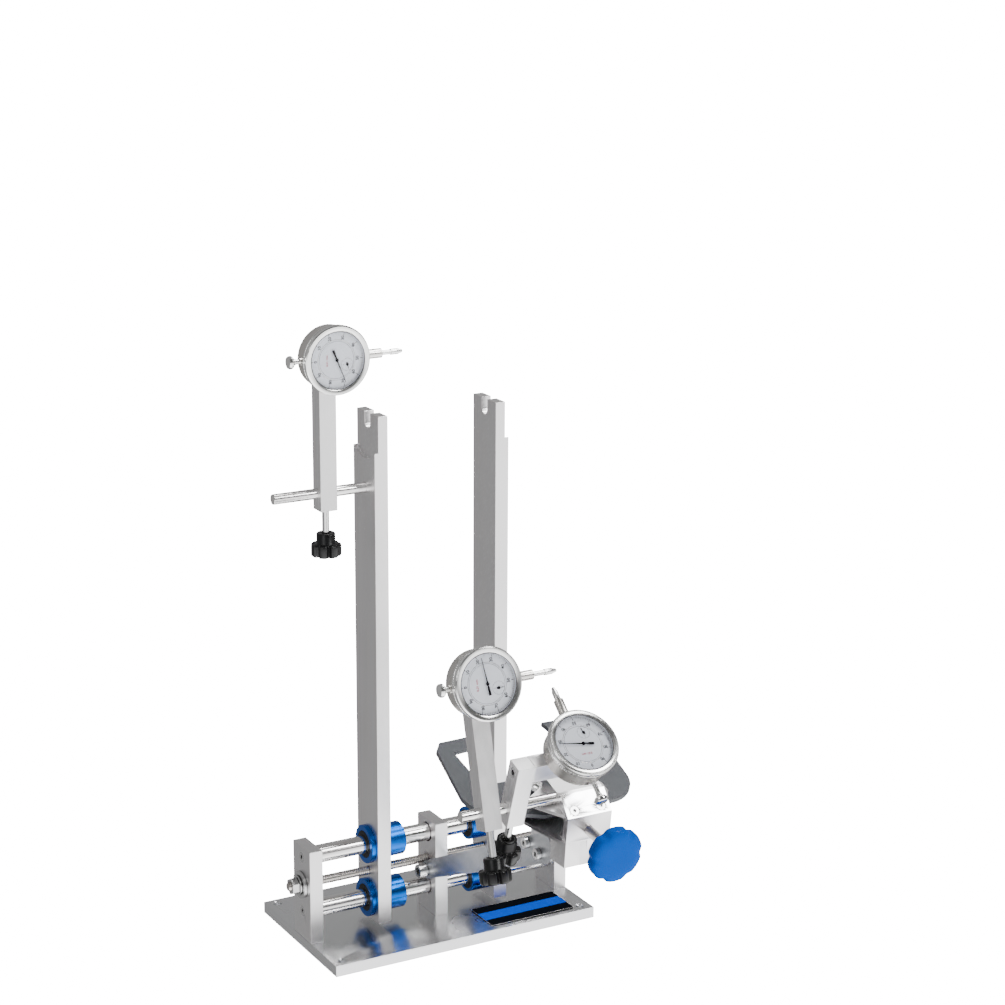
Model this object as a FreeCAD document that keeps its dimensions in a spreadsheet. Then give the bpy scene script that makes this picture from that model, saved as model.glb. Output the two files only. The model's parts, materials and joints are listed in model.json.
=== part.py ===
"""Bicycle wheel truing stand, built as separate named pieces.

Units are millimetres. X runs along the wheel axle, -Y is the front, where the rim calliper reaches
out, and +Z is up. The origin is on the underside of the base plate, straight below the wheel axle.
"""
import FreeCAD
import Part
import math
import os

from FreeCAD import Placement, Rotation, Vector

DIMENSIONS = {
    # base plate and the three upright plates
    "base_length": 254, "base_width": 150, "base_thick": 10, "base_shift": 8,
    "base_hole_dia": 6.5, "base_hole_inset_x": 10, "base_hole_inset_y": 8, "base_hole_chamfer": 1.2,
    "plate_thick": 12, "plate_depth": 34, "plate_top": 94.5, "middle_rise": 2,
    "label_length": 84, "label_width": 40, "label_thick": 0.6, "label_corner": 4,
    "label_inset_side": 16, "label_inset_front": 7,
    # guide rods and lead screw
    "guide_dia": 16, "guide_upper": 84.5, "guide_lower": 34.5, "guide_seat": 6,
    "guide_window_dia": 18, "lead_height": 59.5, "lead_dia": 8, "lead_left_out": 13.5,
    "lead_right_out": 20,
    "bearing_dia": 14, "bearing_flange_dia": 24, "bearing_flange_thick": 3, "bearing_middle_dia": 12,
    "nut_flats": 13, "nut_thick": 6.5, "washer_dia": 17, "washer_thick": 1.5,
    "drive_knob_dia": 30, "drive_knob_length": 15,
    # posts
    "hub_width": 102, "post_thick": 12.5, "post_width": 40, "post_foot": 16, "post_rise": 8.5,
    "axle_height": 461, "axle_slot": 10, "recess_radius": 30, "recess_depth": 3.5,
    "barrel_dia": 29.5, "barrel_reach": 18, "flange_dia": 34, "flange_thick": 4,
    "liner_dia": 24,
    # gauge rods and gauge arms
    "gauge_rod_dia": 9, "rotor_rod_drop": 55.5, "rotor_rod_end": 147.5, "rotor_rod_seat": 8,
    "rotor_arm_x": -99.5, "arm_side": 15, "rotor_arm_below": 14.5, "rotor_arm_above": 125.5,
    "lateral_arm_x": -80.7, "lateral_arm_tilt": -14.7, "lateral_arm_below": 14, "lateral_arm_above": 111,
    "radial_arm_x": -57.3, "radial_arm_tilt": 18.7, "radial_arm_below": 15, "radial_arm_above": 42.5,
    "beam_length": 43, "beam_height": 35, "beam_seat": 5.2,
    "stud_dia": 6, "clamp_hub_dia": 16, "clamp_hub_height": 9, "clamp_star_dia": 26,
    "clamp_star_height": 11, "clamp_notch_dia": 8, "clamp_notch_out": 1,
    "rotor_stud_out": 20, "lateral_stud_out": 22, "radial_stud_out": 17,
    # dial gauges
    "rotor_dial_height": 117, "lateral_dial_height": 101.2, "radial_dial_x": -13.2, "radial_lean": 42,
    "rotor_push": 2, "lateral_push": 0, "radial_push": 9.5,
    "case_dia": 53, "case_back": 9.5, "case_front": 4.2,
    "boss_dia": 48, "boss_front": 7, "pillar_dia": 33, "dial_level": 8.3, "dial_thick": 1,
    "lug_dia": 16, "lug_height": 4.5, "stem_dia": 8, "stem_end": 44, "bush_dia": 7, "bush_end": 29.5,
    "bezel_dia": 58, "bezel_front": 12, "bezel_window_dia": 48.6,
    "glass_dia": 50, "glass_thick": 1, "glass_front": 11.2,
    "spindle_dia": 4, "contact_dia": 5, "contact_start": 54.5, "contact_end": 64, "contact_ball": 3.6,
    "cap_dia": 11, "cap_inner": 30, "cap_outer": 38,
    "pointer_level": 9.2, "pointer_thick": 0.4, "pointer_shaft": 1.2, "pointer_reach": 20.5,
    "pointer_tail": 9, "pointer_half_width": 0.5,
    "counter_level": 8.6, "counter_thick": 0.3, "counter_shaft": 1, "counter_reach": 4.2,
    "counter_tail": 1.8, "counter_half_width": 0.3,
    "counter_offset": 10.5, "counter_angle": -25,
    # swing arms
    "pivot_y": -11, "pivot_z": 53.5, "pivot_boss_radius": 8, "pivot_shank_dia": 6,
    "pivot_head_dia": 12, "pivot_head_height": 8,
    "nose_y": -217, "nose_z": 151, "nose_radius": 12.5, "swing_arm_thick": 6,
    # calliper carriage, in its own tilted frame
    "carriage_ahead": 50, "carriage_rise": 44, "carriage_tilt": 18, "carriage_width": 40,
    "shelf_thick": 3, "block_height": 10.2, "block_back": 44, "channel_floor": -21,
    "ear_out": 10, "ear_front": 24, "ear_back": 34, "wing_out": 20, "wing_front": 26, "wing_back": 32,
    "floor_front": -3.6, "floor_out": 19, "floor_widest": 30, "floor_back": 66, "floor_back_out": 11,
    "wall_top": 6, "wall_foot": 2,
    "cover_length": 20.6, "cover_rise": 32.9, "cover_thick": 3,
    "gauge_rod_back": 22.8, "gauge_rod_rise": 4.4, "gauge_rod_left": -105, "gauge_rod_seat": 18,
    "jaw_top": -13, "jaw_thick": 4, "jaw_pivot_x": 17, "jaw_pivot_back": 56, "jaw_boss_radius": 16.4,
    "jaw_pin_dia": 8, "jaw_pin_boss_dia": 16, "jaw_lobe_radius": 28,
    "jaw_gap": 6, "jaw_tail_front": 24, "jaw_tail_back": 42, "jaw_tail_width": 22,
    "left_jaw_lobe": 80, "left_jaw_lobe_back": 64, "right_jaw_lobe": 67, "right_jaw_lobe_back": 54,
    # feed screw and its knob
    "feed_back": 3.5, "feed_drop": 13, "feed_tilt": 8.5, "feed_dia": 8, "feed_inside": 20,
    "feed_point": 3, "feed_point_dia": 3, "feed_bore": 24,
    "feed_hub_start": 27, "feed_hub_dia": 16, "feed_knob_start": 36, "feed_knob_thick": 12,
    "feed_knob_dia": 45.5, "feed_knob_cap": 3, "feed_notch_dia": 18, "feed_notch_offset": 30,
    # fits
    "running": 0.05, "air_gap": 0.3,
}

doc = FreeCAD.newDocument("truing_stand")
sheet = doc.addObject("Spreadsheet::Sheet", "Dims")
for row, (alias, value) in enumerate(DIMENSIONS.items(), start=1):
    sheet.set(f"A{row}", alias)
    sheet.set(f"B{row}", str(value))
    sheet.setAlias(f"B{row}", alias)
doc.recompute()

X_AXIS = Vector(1, 0, 0)
Y_AXIS = Vector(0, 1, 0)
Z_AXIS = Vector(0, 0, 1)
ALONG_X = Rotation(Z_AXIS, X_AXIS)
ALONG_Y = Rotation(Z_AXIS, Y_AXIS)
UPRIGHT_YZ = Rotation(Y_AXIS, Z_AXIS, X_AXIS, "XYZ")
SOCKET_DEPTH = 0.6  # share of a screw head's height
nodes = []


def dim(alias):
    """Value of one spreadsheet cell."""
    return float(sheet.get(alias))


def bind(thing, **sizes):
    """Bind properties of a document object to spreadsheet expressions."""
    for name, expression in sizes.items():
        thing.setExpression(name, str(expression))
    return thing


def cylinder(diameter, length, base, turn=None):
    """Part cylinder with bound diameter and length; turn aims its axis."""
    solid = doc.addObject("Part::Cylinder", "cylinder")
    bind(solid, Radius=f"({diameter}) / 2", Height=length)
    solid.Placement = Placement(Vector(*base), turn or Rotation())
    return solid


def box(length, width, height, base):
    """Part box with bound sides and its low corner at base."""
    solid = doc.addObject("Part::Box", "box")
    bind(solid, Length=length, Width=width, Height=height)
    solid.Placement = Placement(Vector(*base), Rotation())
    return solid


def cone(diameter_low, diameter_high, length, base, turn=None):
    """Part cone with bound sizes."""
    solid = doc.addObject("Part::Cone", "cone")
    bind(solid, Radius1=f"({diameter_low}) / 2", Radius2=f"({diameter_high}) / 2", Height=length)
    solid.Placement = Placement(Vector(*base), turn or Rotation())
    return solid


def sphere(diameter, centre):
    """Part sphere with a bound diameter."""
    solid = bind(doc.addObject("Part::Sphere", "sphere"), Radius=f"({diameter}) / 2")
    solid.Placement = Placement(Vector(*centre), Rotation())
    return solid


def hexagon(flats, length, base, turn):
    """Hexagonal prism with a bound width across flats."""
    solid = doc.addObject("Part::Prism", "hexagon")
    solid.Polygon = 6
    bind(solid, Circumradius=f"({flats}) / 2 / cos(30)", Height=length)
    solid.Placement = Placement(Vector(*base), turn)
    return solid


def plate(outline, thick, base, turn=None):
    """Body whose pad follows an outline of points; a triple (mid, end) of points is an arc."""
    body = doc.addObject("PartDesign::Body", "body")
    sketch = body.newObject("Sketcher::SketchObject", "outline")
    flat = next(item for item in body.Origin.OriginFeatures if item.Role == "XY_Plane")
    sketch.AttachmentSupport = (flat, [""])
    sketch.MapMode = "FlatFace"
    start = Vector(*outline[0], 0)
    here = start
    for step in list(outline[1:]) + [outline[0]]:
        if isinstance(step[0], tuple):
            middle, end = (Vector(*point, 0) for point in step)
            sketch.addGeometry(Part.Arc(here, middle, end), False)
        else:
            end = Vector(*step, 0)
            if end.distanceToPoint(here) > 1e-6:
                sketch.addGeometry(Part.LineSegment(here, end), False)
        here = end
    pad = body.newObject("PartDesign::Pad", "pad")
    pad.Profile = sketch
    bind(pad, Length=thick)
    body.Placement = Placement(Vector(*base), turn or Rotation())
    return body


def cut(whole, *tools):
    """Whole without its tools."""
    for tool in tools:
        result = doc.addObject("Part::Cut", "cut")
        result.Base = whole
        result.Tool = tool
        whole = result
    return whole


def join(*solids):
    """One solid made of solids that overlap or touch."""
    result = doc.addObject("Part::MultiFuse", "join")
    result.Shapes = list(solids)
    result.Refine = True
    return result


def group(*solids):
    """Separate solids of identical kind kept in one node."""
    result = doc.addObject("Part::Compound", "group")
    result.Links = list(solids)
    return result


def node(label, solid, place=None):
    """Name a finished piece and put it in its place."""
    solid.Label = label
    if place is not None:
        solid.Placement = place
    nodes.append(solid)
    return solid


def notched(diameter, thick, notch, offset, count, base):
    """Disc along Z with round notches cut in its rim."""
    disc = cylinder(diameter, thick, base)
    notches = []
    for index in range(count):
        angle = 2 * math.pi * index / count
        point = (offset * math.cos(angle), offset * math.sin(angle), base[2])
        notches.append(cylinder(notch, thick, point))
    return cut(disc, *notches)


def cap_screw(head_dia, head_height, shank_dia, shank_length, socket, seat, turn):
    """Socket head screw: the shank runs along +Z from the seat, the head behind it."""
    depth = head_height * SOCKET_DEPTH
    head = cylinder(head_dia, head_height, (0, 0, -head_height))
    shank = cylinder(shank_dia, shank_length, (0, 0, 0))
    key = hexagon(socket, depth, (0, 0, -head_height), Rotation())
    screw = cut(join(head, shank), key)
    screw.Placement = Placement(Vector(*seat), turn)
    return screw


def tilted(x, y, z, angle):
    """Frame at a point, turned about X by an angle in degrees."""
    return Placement(Vector(x, y, z), Rotation(X_AXIS, angle))


# ---------------------------------------------------------------- base and frame plates

base_top = dim("base_thick")
half_base = dim("base_length") / 2
base_front = dim("base_shift") - dim("base_width") / 2
half_plate = dim("plate_thick") / 2
half_depth = dim("plate_depth") / 2
plate_inner = half_base - dim("plate_thick")
lead = dim("lead_height")
guides = (dim("guide_upper"), dim("guide_lower"))
sides = (("left", -1), ("right", 1))

FRAME_SCREW_HEAD = 10
FRAME_SCREW_HEAD_HEIGHT = 6
FRAME_SCREW_SHANK = 6
FRAME_SCREW_LENGTH = 18
FRAME_SCREW_OFFSET = 10
FRAME_SCREW_KEY = 5
GUIDE_SCREW_HEAD = 9
GUIDE_SCREW_HEAD_HEIGHT = 3
GUIDE_SCREW_SHANK = 5
GUIDE_SCREW_LENGTH = 15
GUIDE_SCREW_KEY = 4
PIVOT_SCREW_KEY = 6
PIVOT_SCREW_END_GAP = 0.5


def frame_screw_seats():
    """Seats in the base underside: two screws under each upright plate."""
    return [(x, y) for x in (-half_base + half_plate, 0, half_base - half_plate)
            for y in (-FRAME_SCREW_OFFSET, FRAME_SCREW_OFFSET)]


def base_plate():
    slab = box("Dims.base_length", "Dims.base_width", "Dims.base_thick", (-half_base, base_front, 0))
    tools = []
    reach_x = half_base - dim("base_hole_inset_x")
    reach_y = dim("base_width") / 2 - dim("base_hole_inset_y")
    for x in (-reach_x, reach_x):
        for y in (-reach_y, reach_y):
            tools.append(cylinder("Dims.base_hole_dia", "Dims.base_thick", (x, y + dim("base_shift"), 0)))
            tools.append(cone("Dims.base_hole_dia", "Dims.base_hole_dia + 2 * Dims.base_hole_chamfer",
                              "Dims.base_hole_chamfer",
                              (x, y + dim("base_shift"), base_top - dim("base_hole_chamfer"))))
    for x, y in frame_screw_seats():
        tools.append(cylinder(FRAME_SCREW_HEAD, FRAME_SCREW_HEAD_HEIGHT, (x, y, 0)))
        tools.append(cylinder(FRAME_SCREW_SHANK, "Dims.base_thick", (x, y, 0)))
    node("base_plate", cut(slab, *tools))


def upright(label, x, height, guide_cuts, lead_bore):
    """Upright plate with a blind or open hole for each guide rod and a bore for the lead screw."""
    slab = box("Dims.plate_thick", "Dims.plate_depth", height, (x - half_plate, -half_depth, base_top))
    bore = cylinder(lead_bore, "Dims.plate_thick", (x - half_plate, 0, lead), ALONG_X)
    threads = []
    for y in (-FRAME_SCREW_OFFSET, FRAME_SCREW_OFFSET):
        depth = FRAME_SCREW_HEAD_HEIGHT + FRAME_SCREW_LENGTH - base_top
        threads.append(cylinder(FRAME_SCREW_SHANK, depth, (x, y, base_top)))
    return node(label, cut(slab, bore, *threads, *guide_cuts))


def end_plate(label, sign):
    x = sign * (half_base - half_plate)
    seat = plate_inner if sign > 0 else -plate_inner - dim("guide_seat")
    outer = half_base - GUIDE_SCREW_HEAD_HEIGHT if sign > 0 else -half_base
    tools = []
    for height in guides:
        tools.append(cylinder("Dims.guide_dia", "Dims.guide_seat", (seat, 0, height), ALONG_X))
        tools.append(cylinder(GUIDE_SCREW_HEAD, GUIDE_SCREW_HEAD_HEIGHT,
                              (outer, 0, height), ALONG_X))
        tools.append(cylinder(GUIDE_SCREW_SHANK, "Dims.plate_thick",
                              (x - half_plate, 0, height), ALONG_X))
    upright(label, x, "Dims.plate_top - Dims.base_thick", tools, "Dims.bearing_dia")


def middle_plate():
    tools = [cylinder("Dims.guide_window_dia", "Dims.plate_thick", (-half_plate, 0, height), ALONG_X)
             for height in guides]
    pivot = cylinder("Dims.pivot_shank_dia", "Dims.plate_thick",
                     (-half_plate, dim("pivot_y"), dim("pivot_z")), ALONG_X)
    height = "Dims.plate_top + Dims.middle_rise - Dims.base_thick"
    upright("middle_plate", 0, height, tools + [pivot], "Dims.bearing_middle_dia")


def guide_rods():
    reach = plate_inner + dim("guide_seat")
    rods = []
    for height in guides:
        rod = cylinder("Dims.guide_dia", 2 * reach, (-reach, 0, height), ALONG_X)
        depth = GUIDE_SCREW_LENGTH - (dim("plate_thick") - dim("guide_seat") - GUIDE_SCREW_HEAD_HEIGHT)
        holes = [cylinder(GUIDE_SCREW_SHANK, depth, (-reach, 0, height), ALONG_X),
                 cylinder(GUIDE_SCREW_SHANK, depth, (reach - depth, 0, height), ALONG_X)]
        rods.append(cut(rod, *holes))
    node("guide_rods", group(*rods))


def frame_screws():
    """Base screws, guide rod end screws and the two shoulder screws the swing arms turn on."""
    screws = []
    for x, y in frame_screw_seats():
        screws.append(cap_screw(FRAME_SCREW_HEAD, FRAME_SCREW_HEAD_HEIGHT, FRAME_SCREW_SHANK,
                                FRAME_SCREW_LENGTH, FRAME_SCREW_KEY,
                                (x, y, FRAME_SCREW_HEAD_HEIGHT), Rotation()))
    for height in guides:
        for sign in (-1, 1):
            seat = sign * (half_base - GUIDE_SCREW_HEAD_HEIGHT)
            screws.append(cap_screw(GUIDE_SCREW_HEAD, GUIDE_SCREW_HEAD_HEIGHT, GUIDE_SCREW_SHANK,
                                    GUIDE_SCREW_LENGTH, GUIDE_SCREW_KEY,
                                    (seat, 0, height), Rotation(Z_AXIS, Vector(-sign, 0, 0))))
    seat = half_plate + dim("air_gap") * 2 + dim("swing_arm_thick")
    for sign in (-1, 1):
        screws.append(cap_screw("Dims.pivot_head_dia", dim("pivot_head_height"), "Dims.pivot_shank_dia",
                                seat - PIVOT_SCREW_END_GAP, PIVOT_SCREW_KEY,
                                (sign * seat, dim("pivot_y"), dim("pivot_z")),
                                Rotation(Z_AXIS, Vector(-sign, 0, 0))))
    node("frame_screws", group(*screws))


def name_plate():
    half_x = dim("label_length") / 2
    half_y = dim("label_width") / 2
    corner = dim("label_corner")
    bend = corner * (1 - math.sqrt(0.5))
    outline = [(half_x - corner, -half_y), ((half_x - bend, -half_y + bend), (half_x, -half_y + corner)),
               (half_x, half_y - corner), ((half_x - bend, half_y - bend), (half_x - corner, half_y)),
               (-half_x + corner, half_y), ((-half_x + bend, half_y - bend), (-half_x, half_y - corner)),
               (-half_x, -half_y + corner), ((-half_x + bend, -half_y + bend), (-half_x + corner, -half_y))]
    x = half_base - dim("label_inset_side") - half_x
    y = base_front + dim("label_inset_front") + half_y
    node("name_plate", plate(outline, "Dims.label_thick", (x, y, base_top)))


def screw_bearings():
    """Plain bearings of the lead screw: flanged in the end plates, flush in the middle plate."""
    bearings = []
    for sign in (-1, 1):
        start = half_base - dim("plate_thick") if sign > 0 else -half_base
        sleeve = cylinder("Dims.bearing_dia", "Dims.plate_thick", (start, 0, lead), ALONG_X)
        rim = half_base if sign > 0 else -half_base - dim("bearing_flange_thick")
        flange = cylinder("Dims.bearing_flange_dia", "Dims.bearing_flange_thick", (rim, 0, lead), ALONG_X)
        bore = cylinder("Dims.lead_dia + 2 * Dims.running", "Dims.plate_thick + Dims.bearing_flange_thick",
                        (min(start, rim), 0, lead), ALONG_X)
        bearings.append(cut(join(sleeve, flange), bore))
    sleeve = cylinder("Dims.bearing_middle_dia", "Dims.plate_thick", (-half_plate, 0, lead), ALONG_X)
    bore = cylinder("Dims.lead_dia + 2 * Dims.running", "Dims.plate_thick", (-half_plate, 0, lead), ALONG_X)
    bearings.append(cut(sleeve, bore))
    node("screw_bearings", group(*bearings))


# ---------------------------------------------------------------- lead screw

def lead_screw():
    length = "Dims.base_length + Dims.lead_left_out + Dims.lead_right_out"
    start = -half_base - dim("lead_left_out")
    node("lead_screw", cylinder("Dims.lead_dia", length, (start, 0, lead), ALONG_X))


def lock_nuts():
    """Thrust washer and nut at the left end."""
    face = -half_base - dim("bearing_flange_thick") - dim("air_gap")
    washer_start = face - dim("washer_thick")
    nut_start = washer_start - dim("nut_thick")
    washer = cylinder("Dims.washer_dia", "Dims.washer_thick", (washer_start, 0, lead), ALONG_X)
    nut = hexagon("Dims.nut_flats", "Dims.nut_thick", (nut_start, 0, lead), ALONG_X)
    pieces = []
    for solid in (washer, nut):
        bore = cylinder("Dims.lead_dia", "Dims.nut_thick + Dims.washer_thick", (nut_start, 0, lead), ALONG_X)
        pieces.append(cut(solid, bore))
    node("lock_nuts", group(*pieces))


def drive_knob():
    """Knurled hand knob that turns the lead screw from the right end."""
    start = half_base + dim("bearing_flange_thick") + dim("air_gap")
    grip = cylinder("Dims.drive_knob_dia", "Dims.drive_knob_length", (start, 0, lead), ALONG_X)
    depth = half_base + dim("lead_right_out") - start
    bore = cylinder("Dims.lead_dia", depth, (start, 0, lead), ALONG_X)
    node("drive_knob", cut(grip, bore))


# ---------------------------------------------------------------- posts

post_inner = dim("hub_width") / 2
post_outer = post_inner + dim("post_thick")
barrel_end = post_inner - dim("barrel_reach")
rotor_rod_height = dim("axle_height") - dim("rotor_rod_drop")


def span(sign, near, far):
    """Low X of a length that runs from near to far on one side of the middle."""
    return near if sign > 0 else -far


def post(side, sign):
    slab = box("Dims.post_thick", "Dims.post_width", "Dims.axle_height + Dims.post_rise - Dims.post_foot",
               (span(sign, post_inner, post_outer), -dim("post_width") / 2, dim("post_foot")))
    start = span(sign, post_inner, post_outer)
    axle = dim("axle_height")
    half_slot = dim("axle_slot") / 2
    tools = [box("Dims.post_thick", "Dims.axle_slot", "Dims.post_rise", (start, -half_slot, axle)),
             cylinder("Dims.axle_slot", "Dims.post_thick", (start, 0, axle), ALONG_X),
             cylinder("2 * Dims.recess_radius", "Dims.recess_depth",
                      (span(sign, post_outer - dim("recess_depth"), post_outer), 0, axle), ALONG_X),
             cylinder("Dims.lead_dia + 2 * Dims.running", "Dims.post_thick", (start, 0, lead), ALONG_X)]
    for height in guides:
        tools.append(cylinder("Dims.barrel_dia", "Dims.post_thick", (start, 0, height), ALONG_X))
    if side == "left":
        tools.append(cylinder("Dims.gauge_rod_dia", "Dims.rotor_rod_seat",
                              (-post_outer, 0, rotor_rod_height), ALONG_X))
    node(f"{side}_post", cut(slab, *tools))


def bushings(side, sign):
    """Flanged guide bushings: the flange outside the post, the long barrel inside."""
    solids = []
    liners = []
    low = span(sign, barrel_end, post_outer + dim("flange_thick"))
    length = post_outer + dim("flange_thick") - barrel_end
    for height in guides:
        barrel = cylinder("Dims.barrel_dia", length, (low, 0, height), ALONG_X)
        flange = cylinder("Dims.flange_dia", "Dims.flange_thick",
                          (span(sign, post_outer, post_outer + dim("flange_thick")), 0, height), ALONG_X)
        seat = cylinder("Dims.liner_dia", length, (low, 0, height), ALONG_X)
        solids.append(cut(join(barrel, flange), seat))
        sleeve = cylinder("Dims.liner_dia", length, (low, 0, height), ALONG_X)
        bore = cylinder("Dims.guide_dia + 2 * Dims.running", length, (low, 0, height), ALONG_X)
        liners.append(cut(sleeve, bore))
    node(f"{side}_bushings", group(*solids))
    node(f"{side}_liners", group(*liners))


def rotor_gauge_rod():
    start = -dim("rotor_rod_end")
    length = dim("rotor_rod_end") - post_outer + dim("rotor_rod_seat")
    rod = cylinder("Dims.gauge_rod_dia", length, (start, 0, rotor_rod_height), ALONG_X)
    node("rotor_gauge_rod", rod)


# ---------------------------------------------------------------- gauge arms and their clamps

half_arm = dim("arm_side") / 2
carriage_y = dim("nose_y") - dim("carriage_ahead")
carriage_z = dim("nose_z") + dim("carriage_rise")
feed_root = (carriage_y + dim("feed_back"), carriage_z - dim("feed_drop"))
carriage = tilted(0, carriage_y, carriage_z, dim("carriage_tilt"))
rim_rod = carriage.multVec(Vector(0, dim("gauge_rod_back"), dim("gauge_rod_rise")))
rotor_frame = tilted(dim("rotor_arm_x"), 0, rotor_rod_height, 0)
lateral_frame = tilted(dim("lateral_arm_x"), rim_rod.y, rim_rod.z, dim("lateral_arm_tilt"))
radial_frame = tilted(dim("radial_arm_x"), rim_rod.y, rim_rod.z, dim("radial_arm_tilt"))
radial_seat = tilted(dim("radial_dial_x") - dim("radial_arm_x"), 0, dim("beam_height"),
                     dim("radial_lean") - dim("radial_arm_tilt"))


def square_arm(name, below, above):
    """Square bar along Z with a cross bore for its rod at the origin and a bore for its clamp stud."""
    bar = box("Dims.arm_side", "Dims.arm_side", f"Dims.{name}_arm_below + Dims.{name}_arm_above",
              (-half_arm, -half_arm, -below))
    bore = cylinder("Dims.gauge_rod_dia + 2 * Dims.running", "Dims.arm_side", (-half_arm, 0, 0), ALONG_X)
    stud = cylinder("Dims.stud_dia + 2 * Dims.running", below, (0, 0, -below))
    return [bar, bore, stud]


CLAMP_NOTCHES = 7


def clamp(name, frame, below, stud_out):
    """Star knob on a stud that presses on the rod from the arm's lower end."""
    tip = -dim("gauge_rod_dia") / 2 - dim("air_gap")
    hub_top = -below - stud_out
    hub_low = hub_top - dim("clamp_hub_height")
    star_low = hub_low - dim("clamp_star_height")
    hub = cylinder("Dims.clamp_hub_dia", "Dims.clamp_hub_height", (0, 0, hub_low))
    star = notched("Dims.clamp_star_dia", "Dims.clamp_star_height", "Dims.clamp_notch_dia",
                   dim("clamp_star_dia") / 2 + dim("clamp_notch_out"), CLAMP_NOTCHES, (0, 0, star_low))
    bore = cylinder("Dims.stud_dia", hub_top - hub_low, (0, 0, hub_low))
    node(f"{name}_clamp_knob", cut(join(hub, star), bore), frame)
    node(f"{name}_clamp_stud", cylinder("Dims.stud_dia", tip - hub_low, (0, 0, hub_low)),
         frame.multiply(Placement(Vector(0, 0, hub_low), Rotation())))


def gauge_arms():
    for name, frame in (("rotor", rotor_frame), ("lateral", lateral_frame)):
        below = dim(f"{name}_arm_below")
        node(f"{name}_arm", cut(*square_arm(name, below, dim(f"{name}_arm_above"))), frame)
        clamp(name, frame, below, dim(f"{name}_stud_out"))


BEAM_SCREW_SHANK = 5
BEAM_SCREW_LENGTH = 28
BEAM_SCREW_HEAD = 8.5
BEAM_SCREW_HEAD_HEIGHT = 5
BEAM_SCREW_KEY = 4


def radial_arm():
    """Short arm that carries the radial gauge on a sideways beam."""
    below = dim("radial_arm_below")
    height = dim("beam_height")
    pieces = square_arm("radial", below, dim("radial_arm_above"))
    head = cylinder(BEAM_SCREW_HEAD, BEAM_SCREW_HEAD_HEIGHT, (-half_arm, 0, height), ALONG_X)
    shank = cylinder(BEAM_SCREW_SHANK, "Dims.arm_side", (-half_arm, 0, height), ALONG_X)
    node("radial_arm", cut(*pieces, head, shank), radial_frame)
    clamp("radial", radial_frame, below, dim("radial_stud_out"))
    bar = box("Dims.beam_length", "Dims.arm_side", "Dims.arm_side", (half_arm, -half_arm, height - half_arm))
    thread = BEAM_SCREW_LENGTH - dim("arm_side") + BEAM_SCREW_HEAD_HEIGHT
    hole = cylinder(BEAM_SCREW_SHANK, thread, (half_arm, 0, height), ALONG_X)
    seat = box("Dims.lug_dia * 2", "Dims.arm_side * 3", "Dims.arm_side", (0, 0, 0))
    corner = Vector(-dim("lug_dia"), -dim("arm_side") * 1.5, dim("beam_seat"))
    seat.Placement = radial_seat.multiply(Placement(corner, Rotation()))
    node("radial_beam", cut(bar, hole, seat), radial_frame)
    screw = cap_screw(BEAM_SCREW_HEAD, BEAM_SCREW_HEAD_HEIGHT, BEAM_SCREW_SHANK, BEAM_SCREW_LENGTH,
                      BEAM_SCREW_KEY, (-half_arm + BEAM_SCREW_HEAD_HEIGHT, 0, height), ALONG_X)
    node("radial_beam_screw", group(screw), radial_frame)


# ---------------------------------------------------------------- dial gauges

NEEDLE_TIP = 0.3  # width at the tip, as a share of the width at the hub
NEEDLE_TAIL = 2.2  # width at the tail, likewise
NEEDLE_HUB = 2.4  # hub diameter, as a share of the shaft's
COUNTER_STEP = 36  # degrees that the small pointer turns for each millimetre of travel


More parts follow.
